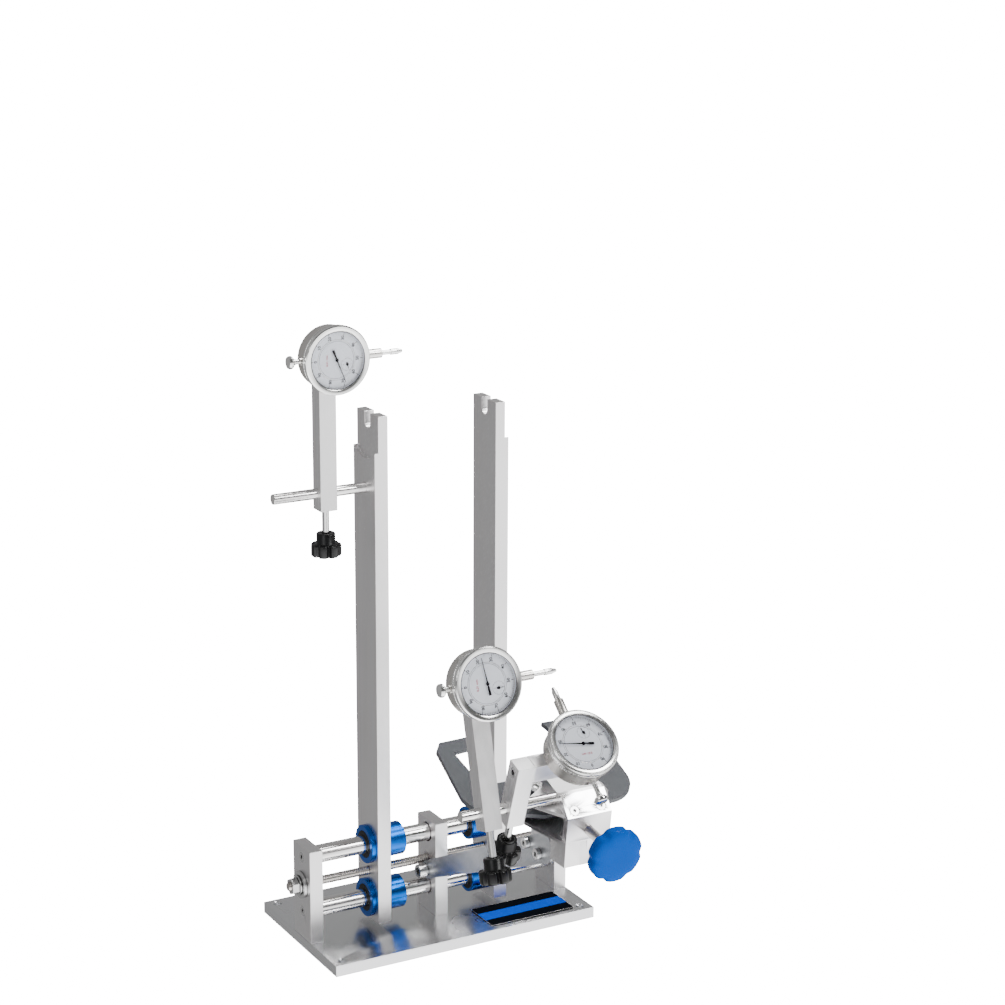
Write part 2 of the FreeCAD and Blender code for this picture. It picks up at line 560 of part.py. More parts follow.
class Dial:
    """One dial gauge in its own frame: X along the plunger to its tip, Z out of the dial."""

    def __init__(self, name, frame, push, pointer_angle, lug):
        self.name = name
        self.frame = frame
        self.push = push
        self.pointer_angle = pointer_angle
        self.lug = lug

    def add(self, label, solid):
        node(f"{self.name}_{label}", solid, self.frame)

    def case(self):
        """Case with a stepped front that guides the spindle and carries both pointer shafts."""
        back = -dim("case_back")
        cup = cylinder("Dims.case_dia", "Dims.case_back + Dims.case_front", (0, 0, back))
        boss = cylinder("Dims.boss_dia", "Dims.case_back + Dims.boss_front", (0, 0, back))
        middle = cylinder("Dims.pillar_dia", "Dims.case_back + Dims.dial_level", (0, 0, back))
        stem = cylinder("Dims.stem_dia", "Dims.stem_end", (0, 0, 0), ALONG_X)
        bush = cylinder("Dims.bush_dia", "Dims.bush_end", (-dim("bush_end"), 0, 0), ALONG_X)
        parts = [cup, boss, middle, stem, bush]
        if self.lug:
            parts.append(cylinder("Dims.lug_dia", "Dims.lug_height + Dims.case_back",
                                  (0, 0, back - dim("lug_height"))))
        tools = [cylinder("Dims.spindle_dia + 2 * Dims.running", "Dims.stem_end + Dims.bush_end",
                          (-dim("bush_end"), 0, 0), ALONG_X)]
        for shaft, (x, y) in (("pointer_shaft", (0, 0)), ("counter_shaft", counter_centre)):
            tools.append(cylinder(f"Dims.{shaft} + 2 * Dims.running", "Dims.dial_level", (x, y, 0)))
        self.add("case", cut(join(*parts), *tools))

    def bezel(self):
        """Rim that turns on the case boss, with a seat for the graduated ring and the glass."""
        back = dim("case_front") + dim("air_gap")
        face_back = dim("dial_level") - dim("dial_thick")
        rim = cylinder("Dims.bezel_dia", dim("bezel_front") - back, (0, 0, back))
        window = cylinder("Dims.bezel_window_dia", "Dims.bezel_front", (0, 0, 0))
        collar = cylinder("Dims.boss_dia + 2 * Dims.running", face_back, (0, 0, 0))
        seat = cylinder("Dims.glass_dia", dim("glass_front") - face_back, (0, 0, face_back))
        self.add("bezel", cut(rim, window, collar, seat))

    def face(self):
        """Graduated ring in the bezel, round the fixed middle of the dial."""
        base = (0, 0, dim("dial_level") - dim("dial_thick"))
        disc = cylinder("Dims.glass_dia", "Dims.dial_thick", base)
        middle = cylinder("Dims.pillar_dia + 2 * Dims.air_gap", "Dims.dial_thick", base)
        self.add("face", cut(disc, middle))

    def crystal(self):
        base = (0, 0, dim("glass_front") - dim("glass_thick"))
        glass = cylinder("Dims.glass_dia", "Dims.glass_thick", (0, 0, 0))
        node(f"{self.name}_crystal", glass, self.frame.multiply(Placement(Vector(*base), Rotation())))

    def needle(self, label, kind, centre, angle):
        """Flat pointer on a hub and a shaft that runs down towards the spindle."""
        reach = dim(f"{kind}_reach")
        tail = dim(f"{kind}_tail")
        middle = dim(f"{kind}_half_width")
        tip = middle * NEEDLE_TIP
        end = middle * NEEDLE_TAIL
        level = dim(f"{kind}_level")
        outline = [(-tail, -end), (0, -middle), (reach, -tip), (reach, tip), (0, middle), (-tail, end)]
        hand = plate(outline, f"Dims.{kind}_thick", (*centre, level), Rotation(Z_AXIS, angle))
        low = dim("spindle_dia") / 2 + 2 * dim("air_gap")
        axle = cylinder(f"Dims.{kind}_shaft", level - low, (*centre, low))
        hub = cylinder(f"Dims.{kind}_shaft * {NEEDLE_HUB}", f"Dims.{kind}_thick", (*centre, level))
        self.add(label, join(hand, axle, hub))

    def pointers(self):
        self.needle("pointer", "pointer", (0, 0), self.pointer_angle)
        self.needle("small_pointer", "counter", counter_centre, -COUNTER_STEP * self.push)

    def plunger(self):
        """Spindle with its contact point at one end and its lifting cap at the other."""
        shift = -self.push
        spindle = cylinder("Dims.spindle_dia", "Dims.contact_start + Dims.cap_inner",
                           (shift - dim("cap_inner"), 0, 0), ALONG_X)
        contact = cylinder("Dims.contact_dia", "Dims.contact_end - Dims.contact_start",
                           (shift + dim("contact_start"), 0, 0), ALONG_X)
        ball = sphere("Dims.contact_ball", (shift + dim("contact_end"), 0, 0))
        cap = cylinder("Dims.cap_dia", "Dims.cap_outer - Dims.cap_inner",
                       (shift - dim("cap_outer"), 0, 0), ALONG_X)
        self.add("plunger", join(spindle, contact, ball, cap))

    def build(self):
        self.case()
        self.bezel()
        self.face()
        self.crystal()
        self.pointers()
        self.plunger()


counter_angle = math.radians(dim("counter_angle"))
counter_centre = (dim("counter_offset") * math.cos(counter_angle),
                  dim("counter_offset") * math.sin(counter_angle))
FACING_FRONT = Rotation(X_AXIS, 90)
PLUNGER_BACK = Rotation(Z_AXIS, 90)


def arm_dial(name, frame, pointer_angle):
    """Dial gauge whose back sits on the front face of a square arm."""
    place = Placement(Vector(0, -half_arm - dim("case_back"), dim(f"{name}_dial_height")), FACING_FRONT)
    return Dial(name, frame.multiply(place), dim(f"{name}_push"), pointer_angle, False)


def radial_dial():
    """Dial gauge that leans over the rim, its lug seated on the beam."""
    height = dim("beam_seat") + dim("lug_height") + dim("case_back")
    place = radial_seat.multiply(Placement(Vector(0, 0, height), PLUNGER_BACK))
    return Dial("radial", radial_frame.multiply(place), dim("radial_push"), 80, True)


# ---------------------------------------------------------------- swing arms and carriage

ARM_SCREW_OFFSETS = ((8, -7.6), (27, -5))  # from the arms' nose, in the YZ plane
ARM_SCREW_SHANK = 6
ARM_SCREW_HEAD = 9.5
ARM_SCREW_HEAD_HEIGHT = 4
ARM_SCREW_KEY = 4
COVER_SCREW_SHANK = 4
COVER_SCREW_HEAD = 8
COVER_SCREW_HEAD_HEIGHT = 2
COVER_SCREW_LENGTH = 9
COVER_SCREW_KEY = 2.5
COVER_SCREW_KEY_DEPTH = 1.5
COVER_SCREW_X = (-12, 12)
COVER_SCREW_UP = 6
JAW_SCREW_HEAD = 14
JAW_SCREW_HEAD_HEIGHT = 3
JAW_SCREW_KEY = 5
TONGUE = ((-45, 1), (-23, -1), (32, -16), (32, 9), (-23, 25), (-38, 25))  # side view, from the nose
CHIN = ((-0.5, -8), (1.7, -30), (23.5, -30), (23.5, -2), (1.5, -6))  # side view, from the feed root
CHIN_SLOT = (6.5, 2, 10)
CHIN_SLOT_CORNER = (-7, -1.5, -19)  # from the feed root
half_carriage = dim("carriage_width") / 2
swing_inner = half_plate + dim("air_gap")
jaw_pivots = (-dim("jaw_pivot_x"), dim("jaw_pivot_x"))
pin_floor = dim("channel_floor") - dim("shelf_thick")
carriage_side = carriage.multiply(Placement(Vector(0, 0, 0), UPRIGHT_YZ))


def shifted(points, across, up):
    """Points moved by the same step."""
    return [(x + across, y + up) for x, y in points]


arm_screws = shifted(ARM_SCREW_OFFSETS, dim("nose_y"), dim("nose_z"))


def tapered_link(start, start_radius, end, end_radius):
    """Outline round two circles and their outer tangents."""
    along = Vector(*start, 0) - Vector(*end, 0)
    length = along.Length
    along = along / length
    left = Vector(-along.y, along.x, 0)
    lean = (end_radius - start_radius) / length
    points = []
    for centre, radius, sign in ((end, end_radius, 1), (start, start_radius, 1),
                                 (start, start_radius, -1), (end, end_radius, -1)):
        normal = along * lean + left * sign * math.sqrt(1 - lean * lean)
        spot = Vector(*centre, 0) + normal * radius
        points.append((spot.x, spot.y))
    tip = Vector(*start, 0) + along * start_radius
    nose = Vector(*end, 0) - along * end_radius
    return [points[0], points[1], ((tip.x, tip.y), points[2]), points[3], ((nose.x, nose.y), points[0])]


def swing_arm(side, sign):
    outline = tapered_link((dim("pivot_y"), dim("pivot_z")), dim("pivot_boss_radius"),
                           (dim("nose_y"), dim("nose_z")), dim("nose_radius"))
    low = span(sign, swing_inner, swing_inner + dim("swing_arm_thick"))
    slab = plate(outline, "Dims.swing_arm_thick", (low, 0, 0), UPRIGHT_YZ)
    tools = [cylinder("Dims.pivot_shank_dia + 2 * Dims.running", "Dims.swing_arm_thick",
                      (low, dim("pivot_y"), dim("pivot_z")), ALONG_X)]
    for y, z in arm_screws:
        tools.append(cylinder(ARM_SCREW_SHANK, "Dims.swing_arm_thick", (low, y, z), ALONG_X))
    node(f"{side}_swing_arm", cut(slab, *tools))


def crosswise(outline, half_width, frame):
    """Plate across the carriage: the outline lies in the frame's side view."""
    turned = frame.multiply(Placement(Vector(0, 0, -half_width), Rotation()))
    slab = plate(outline, 2 * half_width, (0, 0, 0))
    slab.Placement = turned
    return slab


def shelf(outline, top):
    """Flat plate of the carriage whose upper face lies at a height in the carriage frame."""
    slab = plate(outline, "Dims.shelf_thick", (0, 0, 0))
    slab.Placement = carriage.multiply(Placement(Vector(0, 0, top - dim("shelf_thick")), Rotation()))
    return slab


def in_carriage(solid, x, back, rise, turn=None):
    """Move a solid to a point of the carriage frame."""
    solid.Placement = carriage.multiply(Placement(Vector(x, back, rise), turn or Rotation()))
    return solid


rise = math.radians(dim("cover_rise"))
cover_along = (math.cos(rise), math.sin(rise))
cover_inward = (math.sin(rise), -math.cos(rise))
INTO_COVER = Rotation(X_AXIS, dim("cover_rise") + 180)


def cover_point(along, inward):
    """Point of the carriage's side view measured up the cover plate and into it."""
    return (along * cover_along[0] + inward * cover_inward[0],
            along * cover_along[1] + inward * cover_inward[1])


def housing_shells():
    """Solid block under the cover plate, front wall, the two shelves, chin and tongue."""
    thick = dim("cover_thick")
    floor = dim("channel_floor")
    shelf_thick = dim("shelf_thick")
    height = dim("block_height")
    back = dim("block_back")
    foot = cover_point(0, thick)
    crest = cover_point((height + thick * cover_along[0]) / cover_along[1], thick)
    block = crosswise([foot, crest, (back, height), (back, -shelf_thick), (foot[0], -shelf_thick)],
                      half_carriage, carriage_side)
    wall_low = dim("floor_front") * pin_floor / floor
    wall = crosswise([(0, 0), foot, (dim("wall_top"), foot[1]), (dim("wall_foot"), pin_floor),
                      (wall_low, pin_floor)], half_carriage, carriage_side)
    ear = half_carriage + dim("ear_out")
    wing = half_carriage + dim("wing_out")
    under_cover = thick / cover_along[1]
    upper = shelf([(-half_carriage, under_cover), (half_carriage, under_cover), (ear, dim("ear_front")),
                   (ear, dim("ear_back")), (half_carriage, back), (-half_carriage, back),
                   (-wing, dim("wing_back")), (-wing, dim("wing_front"))], 0)
    widest = half_carriage + dim("floor_out")
    rear = half_carriage + dim("floor_back_out")
    lower = shelf([(-half_carriage, dim("floor_front")), (half_carriage, dim("floor_front")),
                   (widest, dim("floor_widest")), (rear, dim("floor_back")), (-rear, dim("floor_back")),
                   (-widest, dim("floor_widest"))], floor)
    upright_frame = Placement(Vector(0, 0, 0), UPRIGHT_YZ)
    chin = crosswise(shifted(CHIN, *feed_root), half_carriage, upright_frame)
    tongue = crosswise(shifted(TONGUE, dim("nose_y"), dim("nose_z")), swing_inner, upright_frame)
    return [block, wall, upper, lower, chin, tongue]


def carriage_housing():
    pin_length = dim("jaw_top") - dim("jaw_thick") - dim("air_gap") - pin_floor
    bosses = []
    tools = []
    for x in jaw_pivots:
        for dia, solids in (("Dims.jaw_pin_boss_dia", bosses), ("Dims.jaw_pin_dia", tools)):
            solids.append(in_carriage(cylinder(dia, pin_length, (0, 0, 0)),
                                      x, dim("jaw_pivot_back"), pin_floor))
    rod = cylinder("Dims.gauge_rod_dia", "Dims.gauge_rod_seat", (0, 0, 0))
    tools.append(in_carriage(rod, -half_carriage, dim("gauge_rod_back"), dim("gauge_rod_rise"), ALONG_X))
    for x in COVER_SCREW_X:
        hole = cylinder(COVER_SCREW_SHANK, COVER_SCREW_LENGTH - dim("cover_thick"), (0, 0, 0))
        tools.append(in_carriage(hole, x, *cover_point(COVER_SCREW_UP, dim("cover_thick")), INTO_COVER))
    for y, z in arm_screws:
        tools.append(cylinder(ARM_SCREW_SHANK, 2 * swing_inner, (-swing_inner, y, z), ALONG_X))
    bore = cylinder("Dims.feed_dia + 2 * Dims.running", "Dims.feed_bore", (0, 0, 0))
    bore.Placement = feed_frame.multiply(Placement(Vector(0, 0, -dim("feed_bore") / 2), Rotation()))
    slot_x, slot_y, slot_z = CHIN_SLOT_CORNER
    slot = box(*CHIN_SLOT, (slot_x, feed_root[0] + slot_y, feed_root[1] + slot_z))
    node("carriage_housing", cut(join(*housing_shells(), *bosses), *tools, bore, slot))


def cover_plate():
    thick = dim("cover_thick")
    length = dim("cover_length")
    outline = [cover_point(0, 0), cover_point(length, 0), cover_point(length, thick), cover_point(0, thick)]
    slab = crosswise(outline, half_carriage, carriage_side)
    tools = []
    for x in COVER_SCREW_X:
        point = cover_point(COVER_SCREW_UP, 0)
        sink = cone(COVER_SCREW_HEAD, COVER_SCREW_SHANK, COVER_SCREW_HEAD_HEIGHT, (0, 0, 0))
        hole = cylinder(COVER_SCREW_SHANK, "Dims.cover_thick", (0, 0, 0))
        tools.append(in_carriage(sink, x, *point, INTO_COVER))
        tools.append(in_carriage(hole, x, *point, INTO_COVER))
    node("cover_plate", cut(slab, *tools))


def carriage_screws():
    """Screws of the swing arms and the cover plate, and the two pivot screws of the jaws."""
    screws = []
    length = dim("swing_arm_thick") + swing_inner - dim("air_gap")
    for sign in (-1, 1):
        seat = sign * (swing_inner + dim("swing_arm_thick"))
        turn = Rotation(Z_AXIS, Vector(-sign, 0, 0))
        for y, z in arm_screws:
            screws.append(cap_screw(ARM_SCREW_HEAD, ARM_SCREW_HEAD_HEIGHT, ARM_SCREW_SHANK, length,
                                    ARM_SCREW_KEY, (seat, y, z), turn))
    for x in COVER_SCREW_X:
        head = cone(COVER_SCREW_HEAD, COVER_SCREW_SHANK, COVER_SCREW_HEAD_HEIGHT, (0, 0, 0))
        shank = cylinder(COVER_SCREW_SHANK, COVER_SCREW_LENGTH, (0, 0, 0))
        key = hexagon(COVER_SCREW_KEY, COVER_SCREW_KEY_DEPTH, (0, 0, 0), Rotation())
        screw = cut(join(head, shank), key)
        screws.append(in_carriage(screw, x, *cover_point(COVER_SCREW_UP, 0), INTO_COVER))
    pin_top = dim("jaw_top") + dim("air_gap")
    for x in jaw_pivots:
        screw = cap_screw(JAW_SCREW_HEAD, JAW_SCREW_HEAD_HEIGHT, "Dims.jaw_pin_dia",
                          pin_top - pin_floor, JAW_SCREW_KEY, (0, 0, 0), Rotation())
        screws.append(in_carriage(screw, x, dim("jaw_pivot_back"), pin_top, Rotation(X_AXIS, 180)))
    node("carriage_screws", group(*screws))


def gauge_rod():
    left = dim("gauge_rod_left")
    length = -half_carriage + dim("gauge_rod_seat") - left
    rod = cylinder("Dims.gauge_rod_dia", length, (0, 0, 0))
    node("gauge_rod", in_carriage(rod, left, dim("gauge_rod_back"), dim("gauge_rod_rise"), ALONG_X))


# ---------------------------------------------------------------- jaws and feed screw

JAW_LEG = ((55, 68), (48, 77), (14, 78), (17, 64), (42, 62), (40, 28), (33, 16))  # from the pivot


def jaw(side, sign):
    """Flat rim jaw: a pivot boss, a tail towards the feed screw, a bent leg and a hook."""
    lobe = dim(f"{side}_jaw_lobe")
    pivot = (dim("jaw_pivot_x"), dim("jaw_pivot_back"))
    radius = dim("jaw_boss_radius")
    round_radius = dim("jaw_lobe_radius")
    centre = (lobe - round_radius, dim(f"{side}_jaw_lobe_back"))
    slant = round_radius * math.sqrt(0.5)
    inner = dim("jaw_gap") / 2
    front = dim("jaw_tail_front")
    outline = [(inner, front), (inner + dim("jaw_tail_width"), front), (centre[0], centre[1] - round_radius),
               ((centre[0] + slant, centre[1] - slant), (lobe, centre[1])),
               *shifted(JAW_LEG, *pivot), (pivot[0], pivot[1] + radius),
               ((pivot[0] - radius, pivot[1]), (inner, dim("jaw_tail_back")))]
    if sign < 0:
        outline = [tuple((-x, y) for x, y in step) if isinstance(step[0], tuple) else (-step[0], step[1])
                   for step in outline]
    low = dim("jaw_top") - dim("jaw_thick")
    slab = in_carriage(plate(outline, "Dims.jaw_thick", (0, 0, 0)), 0, 0, low)
    hole = in_carriage(cylinder("Dims.jaw_pin_dia + 2 * Dims.running", "Dims.jaw_thick", (0, 0, 0)),
                       sign * pivot[0], pivot[1], low)
    node(f"{side}_jaw", cut(slab, hole))


FEED_NOTCHES = 6
feed_frame = tilted(0, *feed_root, 90 + dim("feed_tilt"))


def feed():
    """Feed screw that spreads the jaw tails, and its lobed knob."""
    seat = dim("feed_knob_start") + dim("feed_knob_thick") - dim("feed_knob_cap")
    rod = cylinder("Dims.feed_dia", f"Dims.feed_inside + {seat}", (0, 0, -dim("feed_inside")))
    point = cone("Dims.feed_point_dia", "Dims.feed_dia", "Dims.feed_point",
                 (0, 0, -dim("feed_inside") - dim("feed_point")))
    node("feed_screw", join(rod, point), feed_frame)
    hub = cylinder("Dims.feed_hub_dia", "Dims.feed_knob_start - Dims.feed_hub_start",
                   (0, 0, dim("feed_hub_start")))
    grip = notched("Dims.feed_knob_dia", "Dims.feed_knob_thick", "Dims.feed_notch_dia",
                   dim("feed_notch_offset"), FEED_NOTCHES, (0, 0, dim("feed_knob_start")))
    bore = cylinder("Dims.feed_dia", seat - dim("feed_hub_start"), (0, 0, dim("feed_hub_start")))
    node("feed_knob", cut(join(hub, grip), bore), feed_frame)


# ---------------------------------------------------------------- build and export

base_plate()
for side, sign in sides:
    end_plate(f"{side}_end_plate", sign)
middle_plate()
guide_rods()
frame_screws()
name_plate()
screw_bearings()
lead_screw()
lock_nuts()
drive_knob()
for side, sign in sides:
    post(side, sign)
    bushings(side, sign)
    swing_arm(side, sign)
    jaw(side, sign)
rotor_gauge_rod()
gauge_arms()
radial_arm()
carriage_housing()
cover_plate()
carriage_screws()
gauge_rod()
feed()
arm_dial("rotor", rotor_frame, -68).build()
arm_dial("lateral", lateral_frame, 98).build()
radial_dial().build()

doc.recompute()
for item in doc.Objects:
    if any(state in ("Invalid", "Error") for state in item.State):
        raise RuntimeError(f"{item.Name} ({item.Label}) failed: {item.State}")
for item in nodes:
    if item.Shape.isNull() or not item.Shape.isValid():
        raise RuntimeError(f"{item.Label} has no valid shape")
os.makedirs("parts", exist_ok=True)
for item in nodes:
    item.Shape.exportStep(f"parts/{item.Label}.step")
    print(f"{item.Label:24s} solids {len(item.Shape.Solids)} volume {item.Shape.Volume:10.1f}")
print(len(nodes), "nodes")
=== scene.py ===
import json
import math

import bmesh
import bpy
from mathutils import Matrix, Vector

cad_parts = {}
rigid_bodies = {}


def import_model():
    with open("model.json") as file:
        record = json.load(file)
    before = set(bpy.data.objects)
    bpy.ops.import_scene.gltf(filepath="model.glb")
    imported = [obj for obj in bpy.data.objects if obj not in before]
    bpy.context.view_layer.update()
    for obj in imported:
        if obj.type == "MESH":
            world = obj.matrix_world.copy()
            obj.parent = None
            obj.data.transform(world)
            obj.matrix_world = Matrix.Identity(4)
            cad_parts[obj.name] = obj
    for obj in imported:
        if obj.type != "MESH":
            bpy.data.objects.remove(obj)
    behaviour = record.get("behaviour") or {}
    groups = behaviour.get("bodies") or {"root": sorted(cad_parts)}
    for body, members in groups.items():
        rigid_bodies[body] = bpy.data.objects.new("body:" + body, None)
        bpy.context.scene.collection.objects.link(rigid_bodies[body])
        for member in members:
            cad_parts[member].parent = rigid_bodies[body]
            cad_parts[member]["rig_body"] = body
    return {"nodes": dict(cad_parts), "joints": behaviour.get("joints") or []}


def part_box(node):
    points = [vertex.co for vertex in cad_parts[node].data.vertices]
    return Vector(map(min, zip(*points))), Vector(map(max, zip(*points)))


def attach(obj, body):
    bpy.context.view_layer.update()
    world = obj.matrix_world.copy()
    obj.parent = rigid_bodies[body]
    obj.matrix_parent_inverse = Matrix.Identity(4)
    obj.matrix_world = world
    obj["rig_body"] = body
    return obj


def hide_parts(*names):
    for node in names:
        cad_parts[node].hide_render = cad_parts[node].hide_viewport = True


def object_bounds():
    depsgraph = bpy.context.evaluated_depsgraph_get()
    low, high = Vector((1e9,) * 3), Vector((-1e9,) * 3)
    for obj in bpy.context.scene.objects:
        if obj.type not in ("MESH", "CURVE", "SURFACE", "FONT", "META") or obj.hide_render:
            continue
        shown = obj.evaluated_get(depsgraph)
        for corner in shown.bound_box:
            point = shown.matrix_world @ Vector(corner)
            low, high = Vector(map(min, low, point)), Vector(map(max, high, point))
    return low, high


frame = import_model()
cad_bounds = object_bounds()

MM = 0.001
TURN = 2 * math.pi
X = 0
Z = 2
UP = (0, 0, 1)
DIALS = ("rotor", "lateral", "radial")
SIDES = ("left", "right")
joints = {joint["name"]: joint for joint in frame["joints"]}


# ---------------------------------------------------------------- placing and mesh helpers

SHARP_ANGLE = 30
EDGE_ANGLE = 40
EDGE_STEPS = 2
WELD_DISTANCE = 0.000002
FLAT_ANGLE = 0.5


def body_of(node):
    """Body that a CAD node rides on."""
    return frame["nodes"][node]["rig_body"]


def place_matrix(origin, x, y, z):
    """Frame at a point with three given axes."""
    return Matrix.Translation(Vector(origin)) @ Matrix((x, y, z)).transposed().to_4x4()


def place_on(origin, z_axis, x_hint):
    """Frame at a point whose Z follows one direction and whose X leans to another."""
    z = Vector(z_axis).normalized()
    x = (Vector(x_hint) - z * z.dot(Vector(x_hint))).normalized()
    return place_matrix(origin, x, z.cross(x), z)


def span(node, place, axis):
    """Lowest and highest reach of a CAD node along one axis of a frame, in millimetres."""
    inverse = place.inverted()
    spots = [(inverse @ vertex.co)[axis] for vertex in frame["nodes"][node].data.vertices]
    return min(spots) / MM, max(spots) / MM


def finish_mesh(bm, name, place=None, sharp=SHARP_ANGLE):
    """Turn a bmesh into a mesh with smooth faces and sharp edges above an angle."""
    bmesh.ops.recalc_face_normals(bm, faces=bm.faces)
    for face in bm.faces:
        face.smooth = True
    mesh = bpy.data.meshes.new(name)
    bm.to_mesh(mesh)
    bm.free()
    mesh.set_sharp_from_angle(angle=math.radians(sharp))
    if place is not None:
        mesh.transform(place)
    return mesh


def piece(name, mesh, material, body, replaced=()):
    """Add a finished mesh that rides on a body."""
    obj = bpy.data.objects.new(name, mesh)
    bpy.context.scene.collection.objects.link(obj)
    obj.data.materials.append(material)
    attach(obj, body)
    if replaced:
        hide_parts(*replaced)
    return obj


def turned(bm, profile, segments, shape=None):
    """Revolve a closed profile of (radius, height) points about Z; shape may vary the radius."""
    rings = []
    for radius, height in profile:
        if radius == 0:
            rings.append([bm.verts.new((0, 0, height))])
            continue
        ring = []
        for index in range(segments):
            angle = TURN * index / segments
            reach = shape(angle, radius, height) if shape else radius
            ring.append(bm.verts.new((reach * math.cos(angle), reach * math.sin(angle), height)))
        rings.append(ring)
    for first, second in zip(rings, rings[1:] + rings[:1]):
        if len(first) == 1 and len(second) == 1:
            continue
        for index in range(segments):
            after = (index + 1) % segments
            corners = [first[index % len(first)], first[after % len(first)],
                       second[after % len(second)], second[index % len(second)]]
            bm.faces.new(list(dict.fromkeys(corners)))
    return bm


def lathe(name, profile, segments, place, shape=None, sharp=SHARP_ANGLE):
    """Mesh revolved from a profile in millimetres."""
    bm = turned(bmesh.new(), profile, segments, shape)
    bmesh.ops.scale(bm, vec=(MM, MM, MM), verts=bm.verts)
    return finish_mesh(bm, name, place, sharp)


def softened(node, width, material, angle=EDGE_ANGLE):
    """Copy of a CAD node with its edges broken by a small bevel, standing for the node."""
    bm = bmesh.new()
    bm.from_mesh(frame["nodes"][node].data)
    bmesh.ops.remove_doubles(bm, verts=bm.verts, dist=WELD_DISTANCE)
    bmesh.ops.dissolve_limit(bm, angle_limit=math.radians(FLAT_ANGLE), verts=bm.verts, edges=bm.edges)
    name = f"{node}_body"
    obj = piece(name, finish_mesh(bm, name, sharp=angle), material, body_of(node), (node,))
    edge = obj.modifiers.new("edge", "BEVEL")
    edge.width = width * MM
    edge.segments = EDGE_STEPS
    edge.limit_method = "ANGLE"
    edge.angle_limit = math.radians(angle)
    edge.use_clamp_overlap = True
    edge.harden_normals = True


# ---------------------------------------------------------------- materials

NOISE_RANGE = (0.3, 0.7)
MOTTLE_RANGE = (0.35, 0.65)
GLASS_ROUGHNESS = 0.03
GLASS_ALPHA = 0.01


class Finish:
    """Procedural material built round one Principled shader."""

    def __init__(self, name, colour, metallic, roughness):
        self.material = bpy.data.materials.new(name)
        self.material.use_nodes = True
        self.tree = self.material.node_tree
        self.shader = self.tree.nodes["Principled BSDF"]
        self.colour = (*colour, 1)
        self.set("Base Color", self.colour)
        self.set("Metallic", metallic)
        self.set("Roughness", roughness)
        self.coords = self.tree.nodes.new("ShaderNodeTexCoord").outputs["Object"]

    def set(self, socket, value):
        """Give a socket of the shader one value all over the surface."""
        self.shader.inputs[socket].default_value = value

    def noise(self, scale, detail, stretch=(1, 1, 1)):
        """Noise in object space, in features per metre; stretch squeezes it along an axis."""
        mapping = self.tree.nodes.new("ShaderNodeMapping")
        mapping.inputs["Scale"].default_value = stretch
        texture = self.tree.nodes.new("ShaderNodeTexNoise")
        texture.inputs["Scale"].default_value = scale
        texture.inputs["Detail"].default_value = detail
        self.tree.links.new(self.coords, mapping.inputs["Vector"])
        self.tree.links.new(mapping.outputs["Vector"], texture.inputs["Vector"])
        return texture.outputs["Fac"]

    def roughen(self, source, low, high):
        """Vary the roughness with a noise."""
        spread = self.tree.nodes.new("ShaderNodeMapRange")
        limits = (*NOISE_RANGE, low, high)
        for socket, value in zip(("From Min", "From Max", "To Min", "To Max"), limits):
            spread.inputs[socket].default_value = value
        self.tree.links.new(source, spread.inputs["Value"])
        self.tree.links.new(spread.outputs["Result"], self.shader.inputs["Roughness"])

    def mottle(self, source, share):
        """Vary the colour with a noise, from a share of its own value up to all of it."""
        ramp = self.tree.nodes.new("ShaderNodeValToRGB")
        dark, light = ramp.color_ramp.elements
        dark.position, light.position = MOTTLE_RANGE
        dark.color = (*[channel * share for channel in self.colour[:3]], 1)
        light.color = self.colour
        self.tree.links.new(source, ramp.inputs["Fac"])
        self.tree.links.new(ramp.outputs["Color"], self.shader.inputs["Base Color"])

    def bump(self, source, distance, strength):
        """Relief of the surface, in metres."""
        relief = self.tree.nodes.new("ShaderNodeBump")
        relief.inputs["Distance"].default_value = distance
        relief.inputs["Strength"].default_value = strength
        self.tree.links.new(source, relief.inputs["Height"])
        self.tree.links.new(relief.outputs["Normal"], self.shader.inputs["Normal"])

    def recess(self, reach):
        """Paint shade into the base colour of corners and sockets that are narrower than the reach, in
        metres.
        """
        painted_shade = self.tree.nodes.new("ShaderNodeAmbientOcclusion")
        painted_shade.inputs["Distance"].default_value = reach
        painted_shade.inputs["Color"].default_value = self.colour
        self.tree.links.new(painted_shade.outputs["Color"], self.shader.inputs["Base Color"])


def anodised(name, colour, roughness):
    """Bead blasted and anodised aluminium: fine even grain, faint cloudiness."""
    finish = Finish(name, colour, 1.0, roughness)
    finish.roughen(finish.noise(scale=9, detail=4), low=roughness - 0.04, high=roughness + 0.05)
    finish.mottle(finish.noise(scale=14, detail=4), share=0.965)
    finish.bump(finish.noise(scale=5200, detail=2), distance=0.00001, strength=0.35)
    return finish.material


def brushed(name, colour, roughness, stretch):
    """Metal with fine lines along one direction."""
    finish = Finish(name, colour, 1.0, roughness)
    lines = finish.noise(scale=1, detail=5, stretch=stretch)
    finish.roughen(lines, low=roughness - 0.05, high=roughness + 0.08)
    finish.mottle(lines, share=0.94)
    finish.bump(lines, distance=0.000015, strength=0.4)
    return finish.material


def polished(name, colour, roughness, recess=0.0):
    """Ground or plated steel with faint handling marks; when given a reach, paints shade into its corners
    and sockets.
    """
    finish = Finish(name, colour, 1.0, roughness)
    finish.roughen(finish.noise(scale=60, detail=5), low=roughness * 0.7, high=roughness * 1.5)
    finish.bump(finish.noise(scale=900, detail=4), distance=0.000004, strength=0.3)
    if recess:
        finish.recess(recess)
    return finish.material


def moulded(name, colour, roughness, grain, gloss):
    """Moulded plastic or paint with a fine skin; gloss is the strength of its mirror part."""
    finish = Finish(name, colour, 0.0, roughness)
    finish.roughen(finish.noise(scale=120, detail=4), low=roughness - 0.04, high=roughness + 0.06)
    finish.mottle(finish.noise(scale=40, detail=3), share=0.93)
    finish.bump(finish.noise(scale=2600, detail=2), distance=grain, strength=0.4)
    finish.set("Specular IOR Level", gloss)
    return finish.material


